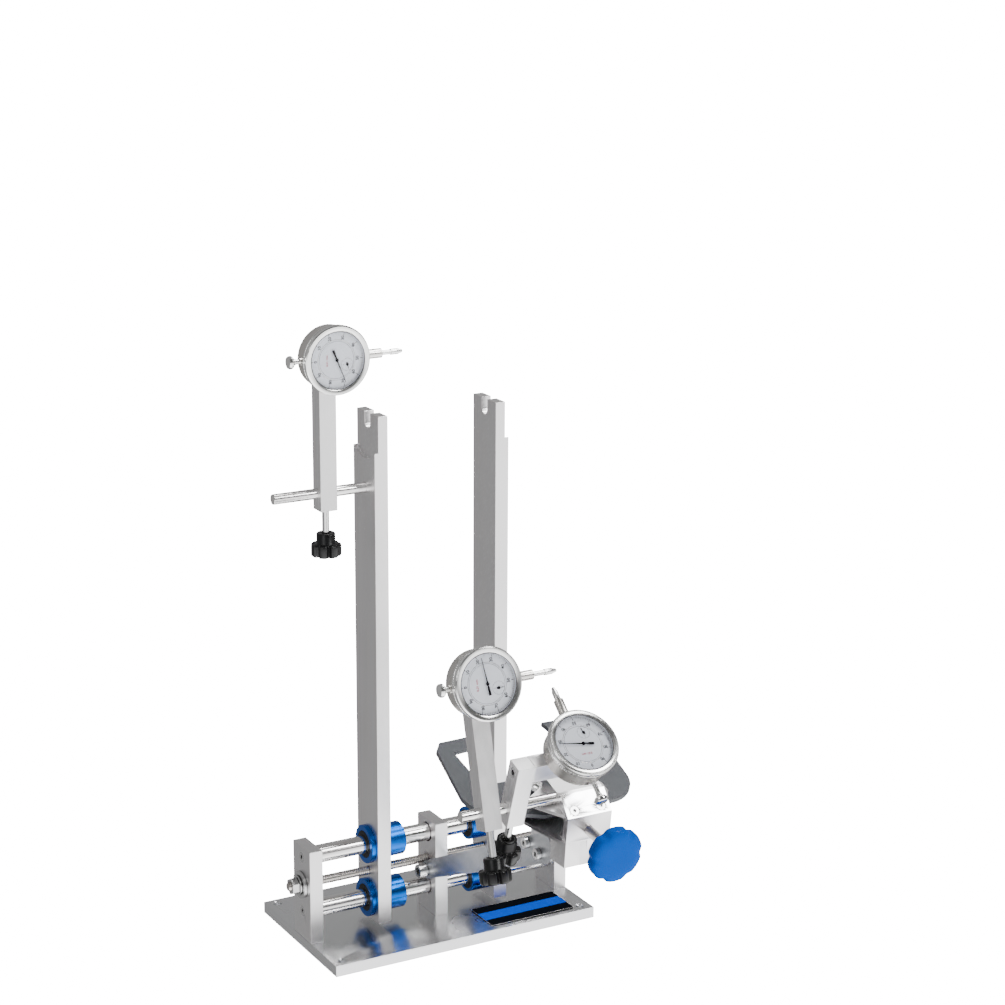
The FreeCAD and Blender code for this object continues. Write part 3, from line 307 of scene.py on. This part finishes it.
def clear_glass(name):
    """Thin clear dial glass that keeps only its reflections."""
    finish = Finish(name, (1, 1, 1), 1.0, GLASS_ROUGHNESS)
    finish.set("Alpha", GLASS_ALPHA)
    return finish.material


silver = anodised("silver_anodised", (0.81, 0.80, 0.805), 0.34)
base_silver = anodised("base_anodised", (0.74, 0.745, 0.76), 0.24)
blue_metal = anodised("bushing_blue", (0.0, 0.11, 0.52), 0.26)
arm_silver = brushed("arm_brushed", (0.86, 0.855, 0.86), 0.5, stretch=(260, 260, 22))
swing_silver = brushed("swing_brushed", (0.58, 0.60, 0.63), 0.34, stretch=(300, 24, 300))
cover_silver = polished("cover_polished", (0.9, 0.9, 0.91), 0.14)
rod_steel = polished("rod_ground", (0.80, 0.79, 0.78), 0.15)
screw_steel = polished("thread_rolled", (0.56, 0.53, 0.50), 0.2)
# painted shade in the hex sockets and corners of the fasteners, within 2 mm
fastener_steel = polished("fastener_plated", (0.66, 0.66, 0.66), 0.18, recess=0.002)
bezel_steel = polished("bezel_chrome", (0.88, 0.88, 0.87), 0.17)
case_metal = polished("case_plated", (0.72, 0.70, 0.67), 0.24)
knurl_metal = polished("knob_dark", (0.30, 0.30, 0.31), 0.3)
jaw_metal = moulded("jaw_coated", (0.09, 0.096, 0.108), 0.34, grain=0.00001, gloss=0.3)
black_plastic = moulded("knob_black", (0.008, 0.008, 0.009), 0.3, grain=0.00002, gloss=0.35)
liner_plastic = moulded("liner_black", (0.008, 0.008, 0.01), 0.42, grain=0.00001, gloss=0.2)
blue_plastic = moulded("knob_blue", (0.0, 0.075, 0.44), 0.12, grain=0.000004, gloss=0.02)
label_black = moulded("label_black", (0.004, 0.005, 0.008), 0.3, grain=0.000003, gloss=0.0)
label_blue = moulded("label_blue", (0.0, 0.075, 0.62), 0.25, grain=0.000003, gloss=0.0)
dial_white = moulded("dial_white", (0.74, 0.77, 0.84), 0.45, grain=0.000002, gloss=0.1)
print_black = moulded("print_black", (0.004, 0.004, 0.006), 0.5, grain=0.000001, gloss=0.0)
print_red = moulded("print_red", (0.42, 0.02, 0.06), 0.5, grain=0.000001, gloss=0.0)
# black of the ring that paints the shade in the gap between dial glass and bezel
gap_shade_black = moulded("gap_shade_black", (0.02, 0.02, 0.022), 0.5, grain=0.000001, gloss=0.2)
glass = clear_glass("dial_glass_clear")


# ---------------------------------------------------------------- frame plates, posts, arms, rods and screws

def plates():
    """Machined aluminium pieces, jaws and bushings; the edge widths are in millimetres."""
    softened("base_plate", 0.7, base_silver)
    for node in ("left_end_plate", "middle_plate", "right_end_plate"):
        softened(node, 0.6, silver)
    for side in SIDES:
        softened(f"{side}_post", 0.5, silver)
        softened(f"{side}_swing_arm", 0.5, swing_silver)
        softened(f"{side}_jaw", 0.4, jaw_metal)
        softened(f"{side}_bushings", 0.5, blue_metal)
        softened(f"{side}_liners", 0.3, liner_plastic)
    for name in DIALS:
        softened(f"{name}_arm", 0.5, arm_silver)
    softened("radial_beam", 0.5, silver)
    softened("carriage_housing", 0.4, silver)
    softened("cover_plate", 0.4, cover_silver)


def rods_and_screws():
    """Steel rods, the feed screw, bearings and fasteners."""
    for node in ("guide_rods", "gauge_rod", "rotor_gauge_rod"):
        softened(node, 0.6, rod_steel)
    softened("feed_screw", 0.3, screw_steel)
    softened("screw_bearings", 0.4, fastener_steel)
    softened("lock_nuts", 0.4, fastener_steel)
    softened("frame_screws", 0.3, fastener_steel)
    for node in ("carriage_screws", "radial_beam_screw"):
        softened(node, 0.25, fastener_steel)
    for name in DIALS:
        softened(f"{name}_clamp_stud", 0.3, fastener_steel)


# ---------------------------------------------------------------- lead screw

THREAD_PITCH = 2.0
THREAD_DEPTH = 0.55
THREAD_FLANK = 2.6
THREAD_ROWS = 6
THREAD_CHAMFER = 0.8
THREAD_SEGMENTS = 36
THREAD_SHARP = 60
DRIVE_SEGMENTS = 192
DRIVE_TEETH = 48
DRIVE_TOOTH = 0.35


def lead_frame():
    """Frame of the lead screw: Z along it."""
    lead = joints["lead_turn"]
    return place_on(lead["pos_m"], lead["axis"], UP)


def lead_screw():
    """Threaded rod; the hand of its thread changes at the middle of the stand."""
    place = lead_frame()
    low, high = span("lead_screw", place, Z)
    rim = span("lead_screw", place, X)[1]
    step = THREAD_PITCH / THREAD_ROWS
    count = int((high - low - 2 * THREAD_CHAMFER) / step)
    profile = [(0, low), (rim - THREAD_CHAMFER, low)]
    profile += [(rim, low + THREAD_CHAMFER + row * step) for row in range(count + 1)]
    profile += [(rim - THREAD_CHAMFER, high), (0, high)]

    def groove(angle, radius, height):
        if radius < rim:
            return radius
        hand = 1 if height > 0 else -1
        phase = (height / THREAD_PITCH - hand * angle / TURN) % 1
        return radius - THREAD_DEPTH * max(0.0, 1 - THREAD_FLANK * abs(phase - 0.5))

    mesh = lathe("lead_thread", profile, THREAD_SEGMENTS, place, groove, THREAD_SHARP)
    piece("lead_thread", mesh, screw_steel, "lead", ("lead_screw",))


def drive_knob():
    """Knurled hand knob of the lead screw."""
    place = lead_frame()
    start, end = span("drive_knob", place, Z)
    rim = span("drive_knob", place, X)[1]
    profile = [(0, start), (rim - 2, start), (rim - 1, start + 1), (rim, start + 1.4),
               (rim, end - 2.2), (rim - 1, end - 1.4), (rim - 2, end), (0, end)]

    def knurl(angle, radius, height):
        return radius - (DRIVE_TOOTH if radius >= rim and math.cos(angle * DRIVE_TEETH) < 0 else 0)

    mesh = lathe("drive_grip", profile, DRIVE_SEGMENTS, place, knurl)
    piece("drive_grip", mesh, knurl_metal, "lead", ("drive_knob",))


# ---------------------------------------------------------------- lobed knobs

KNOB_SHARP = 50

FEED_SEGMENTS = 144
FEED_GRIP = 12
FEED_RIM = 22.75
FEED_HUB = 8.0
FEED_PLAIN = 4
FEED_SCALLOPS = 6
FEED_DIP = 1.75
FEED_DIP_POWER = 2.2

CLAMP_SEGMENTS = 126
CLAMP_GRIP = 11
CLAMP_RIM = 13.0
CLAMP_COLLAR = 8.0
CLAMP_ROUND = 1.2
CLAMP_FILLET = 0.7
CLAMP_LOBES = 7
CLAMP_DIP = 3.0
CLAMP_DIP_POWER = 1.6


def knob_frame(joint):
    """Frame of a knob: Z points out of the knob, away from what its screw presses on."""
    return place_on(joints[joint]["pos_m"], -Vector(joints[joint]["axis"]), (1, 0, 0))


def lobed(count, depth, power, inner, outer):
    """Shape with dips between its lobes, from none at the inner radius to full depth at the outer one."""

    def shape(angle, radius, height):
        share = max(0.0, min(1.0, (radius - inner) / (outer - inner)))
        phase = (angle * count / TURN) % 1
        dip = max(0.0, math.cos(TURN * phase)) ** power
        return radius - depth * dip * share

    return shape


def feed_knob():
    """Glossy knob with shallow scallops, a rounded rim and a slightly crowned face."""
    place = knob_frame("feed_turn")
    start, front = span("feed_knob", place, Z)
    back = front - FEED_GRIP
    rim = FEED_RIM
    hub = FEED_HUB
    profile = [(0, start + 0.6), (4.2, start + 0.6), (4.6, start), (hub - 0.8, start), (hub, start + 0.8),
               (hub, back - 1.5), (hub + 1.2, back - 0.2), (14, back), (rim - 2.2, back),
               (rim - 0.7, back + 0.5), (rim, back + 1.8), (rim, front - 4.6), (rim - 0.5, front - 3),
               (rim - 1.8, front - 1.7), (rim - 4.2, front - 0.9), (14, front - 0.25), (7, front - 0.03),
               (0, front)]
    scallops = lobed(FEED_SCALLOPS, FEED_DIP, FEED_DIP_POWER, hub + FEED_PLAIN, rim)
    mesh = lathe("feed_grip", profile, FEED_SEGMENTS, place, scallops, KNOB_SHARP)
    piece("feed_grip", mesh, blue_plastic, "feed", ("feed_knob",))


def clamp_knobs():
    """Black star knobs: a plain collar above a lobed grip."""
    rim = CLAMP_RIM
    collar = CLAMP_COLLAR
    inner = collar + CLAMP_FILLET
    star = lobed(CLAMP_LOBES, CLAMP_DIP, CLAMP_DIP_POWER, inner, rim - CLAMP_ROUND)
    for name in DIALS:
        place = knob_frame(f"{name}_clamp_turn")
        bottom, top = span(f"{name}_clamp_knob", place, Z)
        grip = bottom + CLAMP_GRIP
        profile = [(0, bottom + 1), (4, bottom + 1), (5, bottom + 0.3), (9, bottom),
                   (rim - CLAMP_ROUND, bottom + 0.2), (rim - 0.3, bottom + 1), (rim, bottom + 2.2),
                   (rim, grip - 2), (rim - 0.4, grip - 0.8), (rim - 1.4, grip - 0.2), (inner, grip),
                   (collar, grip + 0.6), (collar, top - 0.7), (collar - 0.6, top), (5, top),
                   (4.4, top - 0.6), (0, top - 0.6)]
        mesh = lathe(f"{name}_clamp_grip", profile, CLAMP_SEGMENTS, place, star, KNOB_SHARP)
        piece(f"{name}_clamp_grip", mesh, black_plastic, f"{name}_clamp",
              (f"{name}_clamp_knob",))


# ---------------------------------------------------------------- prints of the dial gauges

PRINT_HEIGHT = 0.04
FACE_LEVEL = 8.3
LETTER_STEPS = 3

DIVISIONS = 100
TICK_END = 24.1
TICKS = (
    # every so many divisions, length, width
    (10, 3.0, 0.42),
    (5, 2.3, 0.22),
    (1, 1.5, 0.22),
)
NUMBER_EVERY = 10
NUMBER_RADIUS = 18.7
NUMBER_SIZE = 3.6
NUMBER_WEIGHT = 0.1

MIDDLE_BORE = 0.7
MIDDLE_RADIUS = 16.4
MIDDLE_THICK = 0.02
MIDDLE_SEGMENTS = 96
RING_RADIUS = 15.4
RING_LINE = 0.22
RING_SEGMENTS = 72

COUNTER_ANGLE = math.radians(-25)
COUNTER_REACH = 10.5
COUNTER_CENTRE = (COUNTER_REACH * math.cos(COUNTER_ANGLE), COUNTER_REACH * math.sin(COUNTER_ANGLE))
COUNTER_RADIUS = 5.2
COUNTER_LINE = 0.14
COUNTER_SEGMENTS = 40
COUNTER_TICKS = 10
COUNTER_TICK_START = 4.4
COUNTER_TICK_WIDTH = 0.18
COUNTER_NUMBER_EVERY = 5
COUNTER_NUMBER_RADIUS = 3.3
COUNTER_NUMBER_SIZE = 1.5

UNIT_TEXT = "0.01 mm"
UNIT_SIZE = 2.6
UNIT_POINT = (-8.5, 0)
UNIT_WEIGHT = 0.06


def dial_frame(name):
    """Dial frame: Z out of the dial, X along the plunger to its tip."""
    turn = joints[f"{name}_bezel_turn"]
    return place_on(turn["pos_m"], turn["axis"], joints[f"{name}_plunger_slide"]["axis"])


def dial_point(turn, radius, centre=(0, 0)):
    """Point of the dial, clockwise from the side away from the plunger."""
    return (centre[0] - radius * math.cos(turn), centre[1] + radius * math.sin(turn))


def stroke(bm, start, end, width):
    """Thin printed bar between two points, in millimetres."""
    along = Vector((end[0] - start[0], end[1] - start[1], 0))
    side = Vector((-along.y, along.x, 0)).normalized() * width / 2
    first = Vector((*start, FACE_LEVEL))
    last = Vector((*end, FACE_LEVEL))
    corners = [first - side, last - side, last + side, first + side]
    low = [bm.verts.new(corner) for corner in corners]
    high = [bm.verts.new(corner + Vector((0, 0, PRINT_HEIGHT))) for corner in corners]
    bm.faces.new(low[::-1])
    bm.faces.new(high)
    for index in range(len(corners)):
        after = (index + 1) % len(corners)
        bm.faces.new((low[index], low[after], high[after], high[index]))


def printed_ring(bm, radius, width, segments, centre=(0, 0)):
    """Printed circle line."""
    inner = radius - width / 2
    outer = radius + width / 2
    top = FACE_LEVEL + PRINT_HEIGHT
    profile = [(inner, FACE_LEVEL), (outer, FACE_LEVEL), (outer, top), (inner, top)]
    ring = turned(bmesh.new(), profile, segments)
    bmesh.ops.translate(ring, vec=(*centre, 0), verts=ring.verts)
    mesh = bpy.data.meshes.new("ring")
    ring.to_mesh(mesh)
    ring.free()
    bm.from_mesh(mesh)
    bpy.data.meshes.remove(mesh)


def lettering(bm, text, size, point, weight=0.0):
    """Text that reads upright with the plunger pointing down, centred on a point."""
    curve = bpy.data.curves.new("lettering", "FONT")
    curve.body = text
    curve.size = size
    curve.align_x = "CENTER"
    curve.align_y = "CENTER"
    curve.extrude = PRINT_HEIGHT / 2
    curve.offset = weight
    curve.resolution_u = LETTER_STEPS
    obj = bpy.data.objects.new("lettering", curve)
    mesh = bpy.data.meshes.new_from_object(obj)
    across = Matrix(((0, -1, 0), (1, 0, 0), (0, 0, 1))).to_4x4()
    mesh.transform(Matrix.Translation((*point, FACE_LEVEL + PRINT_HEIGHT / 2)) @ across)
    bm.from_mesh(mesh)
    bpy.data.objects.remove(obj)
    bpy.data.curves.remove(curve)
    bpy.data.meshes.remove(mesh)


def printed(bm, name, place, material, body):
    """Add a print that was drawn in millimetres."""
    bmesh.ops.scale(bm, vec=(MM, MM, MM), verts=bm.verts)
    piece(name, finish_mesh(bm, name, place), material, body)


def ring_print(name, place):
    """Graduations and numbers on the ring that turns with the bezel."""
    bm = bmesh.new()
    for index in range(DIVISIONS):
        turn = TURN * index / DIVISIONS
        length, width = next(size for every, *size in TICKS if index % every == 0)
        stroke(bm, dial_point(turn, TICK_END - length), dial_point(turn, TICK_END), width)
        if index % NUMBER_EVERY == 0:
            lettering(bm, str(index), NUMBER_SIZE, dial_point(turn, NUMBER_RADIUS), NUMBER_WEIGHT)
    printed(bm, f"{name}_graduations", place, print_black, f"{name}_bezel")


def middle_print(name, place):
    """Fixed white middle of the dial with its turn counter and the unit."""
    top = FACE_LEVEL + MIDDLE_THICK
    profile = [(MIDDLE_BORE, FACE_LEVEL), (MIDDLE_RADIUS, FACE_LEVEL), (MIDDLE_RADIUS, top),
               (MIDDLE_BORE, top)]
    disc = lathe(f"{name}_middle", profile, MIDDLE_SEGMENTS, place)
    piece(f"{name}_middle", disc, dial_white, f"{name}_arm")
    counter = bmesh.new()
    printed_ring(counter, RING_RADIUS, RING_LINE, RING_SEGMENTS)
    printed_ring(counter, COUNTER_RADIUS, COUNTER_LINE, COUNTER_SEGMENTS, COUNTER_CENTRE)
    for index in range(COUNTER_TICKS):
        turn = TURN * index / COUNTER_TICKS
        stroke(counter, dial_point(turn, COUNTER_TICK_START, COUNTER_CENTRE),
               dial_point(turn, COUNTER_RADIUS, COUNTER_CENTRE), COUNTER_TICK_WIDTH)
        if index % COUNTER_NUMBER_EVERY == 0:
            spot = dial_point(turn, COUNTER_NUMBER_RADIUS, COUNTER_CENTRE)
            lettering(counter, str(index), COUNTER_NUMBER_SIZE, spot)
    printed(counter, f"{name}_counter_print", place, print_black, f"{name}_arm")
    unit = bmesh.new()
    lettering(unit, UNIT_TEXT, UNIT_SIZE, UNIT_POINT, UNIT_WEIGHT)
    printed(unit, f"{name}_unit_print", place, print_red, f"{name}_arm")


# ---------------------------------------------------------------- bodies of the dial gauges

CASE_EDGE = 0.3
CASE_ANGLE = 38

BEZEL_SEGMENTS = 360
BEZEL_SHARP = 28
BEZEL_BORE = 24.05
BEZEL_SEAT = 25
BEZEL_LIP = 24.3
BEZEL_TEETH = 90
BEZEL_TOOTH = 0.22

GLASS_SEGMENTS = 96
GLASS_EDGE = 24.9
GLASS_RADIUS = 24.2
GLASS_CROWN = 0.5
GLASS_STEPS = 12
# width and height of the black ring of painted shade between glass and bezel
GAP_SHADE_WIDTH = 0.55
GAP_SHADE_HEIGHT = 0.16

PLUNGER_SEGMENTS = 48
PLUNGER_SHARP = 35
SPINDLE = 2.0
POINT_SLEEVE = 2.5
CAP = 5.5


def bezel(name, place):
    """Turned bezel: knurled lower band, a groove, a polished upper band and an inner cone."""
    back, front = span(f"{name}_bezel", place, Z)
    rim = span(f"{name}_bezel", place, X)[1]
    profile = [(BEZEL_BORE, back), (rim - 0.8, back), (rim - 0.3, back + 0.4), (rim - 0.3, back + 2.2),
               (rim - 0.9, back + 2.6), (rim - 0.9, back + 2.9), (rim - 0.2, back + 3.3), (rim, back + 3.9),
               (rim, front - 1.6), (rim - 0.35, front - 0.6), (rim - 1.2, front), (rim - 2.0, front),
               (24.7, front - 0.35), (BEZEL_LIP, front - 0.6), (BEZEL_LIP, front - 0.78),
               (BEZEL_SEAT, front - 0.78), (BEZEL_SEAT, front - 4.7), (BEZEL_BORE, front - 4.7)]

    def knurl(angle, radius, height):
        banded = back + 0.3 < height < back + 2.4 and radius > rim - 0.4
        return radius - (BEZEL_TOOTH if banded and math.cos(angle * BEZEL_TEETH) < 0 else 0)

    mesh = lathe(f"{name}_rim", profile, BEZEL_SEGMENTS, place, knurl, BEZEL_SHARP)
    piece(f"{name}_rim", mesh, bezel_steel, f"{name}_bezel", (f"{name}_bezel",))


def crystal(name, place):
    """Dial glass with a faint crown, and a black ring between the glass and the bezel that paints the shade
    of the gap there.
    """
    back, front = span(f"{name}_crystal", place, Z)
    profile = [(0, back), (GLASS_EDGE, back), (GLASS_EDGE, front)]
    for step in range(GLASS_STEPS + 1):
        share = 1 - step / GLASS_STEPS
        profile.append((GLASS_RADIUS * share, front + GLASS_CROWN * (1 - share * share)))
    mesh = lathe(f"{name}_glass", profile, GLASS_SEGMENTS, place)
    piece(f"{name}_glass", mesh, glass, f"{name}_bezel", (f"{name}_crystal",))
    # black ring of painted shade in the gap between the glass and the bezel
    inner = GLASS_RADIUS - GAP_SHADE_WIDTH
    top = front + GAP_SHADE_HEIGHT
    ring = [(inner, front), (GLASS_RADIUS, front), (GLASS_RADIUS, top), (inner, top)]
    gap_shade = lathe(f"{name}_seal", ring, GLASS_SEGMENTS, place)
    piece(f"{name}_seal", gap_shade, gap_shade_black, f"{name}_bezel")


def plunger(name, place):
    """Spindle, lifting cap and contact point turned in one profile along the plunger."""
    tail, tip = span(f"{name}_plunger", place, X)
    profile = [(0, tail), (3.4, tail), (4.9, tail + 0.5), (CAP, tail + 1.6), (CAP, tail + 3.4),
               (4.6, tail + 4.6), (2.6, tail + 5.4), (2.4, tail + 7.4), (SPINDLE, tail + 7.7),
               (SPINDLE, tip - 13.5), (SPINDLE, tip - 11.4), (POINT_SLEEVE, tip - 11.1),
               (POINT_SLEEVE, tip - 4.6), (1.7, tip - 2.4), (1.7, tip - 1.6), (1.2, tip - 0.5),
               (0.6, tip - 0.1), (0, tip)]
    aim = Matrix(((0, 0, 1), (0, 1, 0), (-1, 0, 0))).to_4x4()
    mesh = lathe(f"{name}_spindle", profile, PLUNGER_SEGMENTS, place @ aim, sharp=PLUNGER_SHARP)
    piece(f"{name}_spindle", mesh, bezel_steel, f"{name}_plunger", (f"{name}_plunger",))


def dials():
    """The three dial gauges; their faces and pointers keep the solids and get a finish."""
    for name in DIALS:
        place = dial_frame(name)
        softened(f"{name}_case", CASE_EDGE, case_metal, CASE_ANGLE)
        bezel(name, place)
        crystal(name, place)
        plunger(name, place)
        ring_print(name, place)
        middle_print(name, place)
        frame["nodes"][f"{name}_face"].data.materials[0] = dial_white
        for pointer in ("pointer", "small_pointer"):
            frame["nodes"][f"{name}_{pointer}"].data.materials[0] = print_black


# ---------------------------------------------------------------- name plate

PLATE_EDGE = 0.15
BAND_SHARE = 0.36
BAND_THICK = 0.1
PLATE_LINE = 0.5


def slab(name, centre, size, material):
    """Thin print on the name plate."""
    bm = bmesh.new()
    bmesh.ops.create_cube(bm, size=1)
    bmesh.ops.scale(bm, vec=size, verts=bm.verts)
    bmesh.ops.translate(bm, vec=centre, verts=bm.verts)
    piece(name, finish_mesh(bm, name), material, body_of("name_plate"))


def name_plate():
    """Plain black plate with a plain blue band and a light line round it."""
    softened("name_plate", PLATE_EDGE, label_black)
    low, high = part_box("name_plate")
    centre = (low + high) / 2
    width, depth, _ = high - low
    line = PLATE_LINE * MM
    thick = BAND_THICK * MM
    band = (width - 2 * line, depth * BAND_SHARE, thick)
    slab("name_plate_band", (centre.x, centre.y, high.z), band, label_blue)
    for name, side in (("front", low.y + line), ("back", high.y - line)):
        slab(f"name_plate_{name}_line", (centre.x, side, high.z), (width - line, line, thick), silver)
    for name, side in (("left", low.x + line), ("right", high.x - line)):
        slab(f"name_plate_{name}_line", (side, centre.y, high.z), (line, depth - line, thick), silver)


# ---------------------------------------------------------------- camera, floor and light

CAMERA_SPOT = (-0.96971, -1.85959, 0.96013)
CAMERA_YAW = math.radians(-29.19)
CAMERA_PITCH = math.radians(15.92)
CAMERA_ROLL = math.radians(0.29)
FOCAL_PIXELS = 2557.4
IMAGE_PIXELS = 1005
CENTRE_ROW = 527.57
SENSOR = 36.0

FLOOR_REACH = 40
FLOOR_DROP = 0.0002
FLOOR_GREY = 0.93
FLOOR_ROUGHNESS = 0.7
FLOOR_GLOW = 18

LIGHT_AIM = Vector((0, -0.05, 0.25))
LIGHTS = (
    # name, direction from the stand, distance, size, power
    ("cover_light", (0.462, -0.597, 0.656), 2.29, 0.68, 22),
    ("left_light", (-0.80, -0.55, 0.60), 2.4, 0.9, 7),
    ("top_light", (0.44, 0.02, 0.90), 2.2, 0.9, 38),
)

FRONT_SIDE = (0.25, -0.97, 0.0)
DOWN = (0, 0, -1)
BACK_GLOW = 0.37
CEILING_GLOW = 0.12
FRONT_GLOW = 2.7
LOW_GLOW = 4.2
LOW_STEP = (0.38, 0.62)
LEVEL_STEP = (-0.24, 0.20)
FRONT_STEP = (-0.05, 0.45)


def camera():
    """Camera of the photograph."""
    right = Vector((math.cos(CAMERA_YAW), math.sin(CAMERA_YAW), 0))
    back = Vector((math.sin(CAMERA_YAW) * math.cos(CAMERA_PITCH),
                   -math.cos(CAMERA_YAW) * math.cos(CAMERA_PITCH), math.sin(CAMERA_PITCH)))
    up = back.cross(right)
    rolled_right = right * math.cos(CAMERA_ROLL) + up * math.sin(CAMERA_ROLL)
    rolled_up = up * math.cos(CAMERA_ROLL) - right * math.sin(CAMERA_ROLL)
    lens = bpy.data.cameras.new("photo_camera")
    lens.sensor_width = SENSOR
    lens.lens = SENSOR * FOCAL_PIXELS / IMAGE_PIXELS
    lens.shift_y = (CENTRE_ROW - IMAGE_PIXELS / 2) / IMAGE_PIXELS
    obj = bpy.data.objects.new("photo_camera", lens)
    obj.matrix_world = place_matrix(CAMERA_SPOT, rolled_right, rolled_up, back)
    bpy.context.scene.collection.objects.link(obj)
    bpy.context.scene.camera = obj


def floor():
    """Pale floor that glows evenly, so that only a faint shadow falls on it."""
    bm = bmesh.new()
    bmesh.ops.create_grid(bm, x_segments=1, y_segments=1, size=FLOOR_REACH)
    mesh = bpy.data.meshes.new("floor")
    bm.to_mesh(mesh)
    bm.free()
    mesh.transform(Matrix.Translation((0, 0, cad_bounds[0][Z] - FLOOR_DROP)))
    obj = bpy.data.objects.new("floor", mesh)
    finish = Finish("floor_pale", (FLOOR_GREY, FLOOR_GREY, FLOOR_GREY), 0.0, FLOOR_ROUGHNESS)
    finish.set("Emission Color", (1, 1, 1, 1))
    finish.set("Emission Strength", FLOOR_GLOW)
    obj.data.materials.append(finish.material)
    obj.visible_glossy = False
    obj.visible_diffuse = False
    bpy.context.scene.collection.objects.link(obj)


def studio():
    """Surroundings: in front bright below and brightest low down, dark above; grey behind."""
    world = bpy.data.worlds.new("studio")
    world.use_nodes = True
    tree = world.node_tree
    direction = tree.nodes.new("ShaderNodeTexCoord").outputs["Generated"]

    def along(axis, step, low, high):
        """Smooth step of the view direction's reach along an axis."""
        towards = tree.nodes.new("ShaderNodeVectorMath")
        towards.operation = "DOT_PRODUCT"
        towards.inputs[1].default_value = axis
        spread = tree.nodes.new("ShaderNodeMapRange")
        spread.interpolation_type = "SMOOTHSTEP"
        for socket, value in zip(("From Min", "From Max", "To Min", "To Max"), (*step, low, high)):
            spread.inputs[socket].default_value = value
        tree.links.new(direction, towards.inputs[0])
        tree.links.new(towards.outputs["Value"], spread.inputs["Value"])
        return spread.outputs["Result"]

    def blended(glow, other, factor):
        """Passage from one even glow to another that may vary."""
        node = tree.nodes.new("ShaderNodeMix")
        node.inputs["A"].default_value = glow
        tree.links.new(other, node.inputs["B"])
        tree.links.new(factor, node.inputs["Factor"])
        return node.outputs["Result"]

    low = along(DOWN, LOW_STEP, FRONT_GLOW, LOW_GLOW)
    front = blended(CEILING_GLOW, low, along(DOWN, LEVEL_STEP, 0, 1))
    glow = blended(BACK_GLOW, front, along(FRONT_SIDE, FRONT_STEP, 0, 1))
    background = tree.nodes["Background"]
    background.inputs["Color"].default_value = (1, 1, 1, 1)
    tree.links.new(glow, background.inputs["Strength"])
    bpy.context.scene.world = world


def lights():
    """Soft lamps round the stand, all aimed at its middle."""
    for name, direction, distance, size, power in LIGHTS:
        lamp = bpy.data.lights.new(name, "AREA")
        lamp.size = size
        lamp.energy = power
        obj = bpy.data.objects.new(name, lamp)
        away = Vector(direction).normalized()
        turn = (-away).to_track_quat("-Z", "Y").to_matrix().to_4x4()
        obj.matrix_world = Matrix.Translation(LIGHT_AIM + away * distance) @ turn
        bpy.context.scene.collection.objects.link(obj)


camera()
floor()
studio()
lights()
plates()
rods_and_screws()
lead_screw()
feed_knob()
clamp_knobs()
drive_knob()
dials()
name_plate()
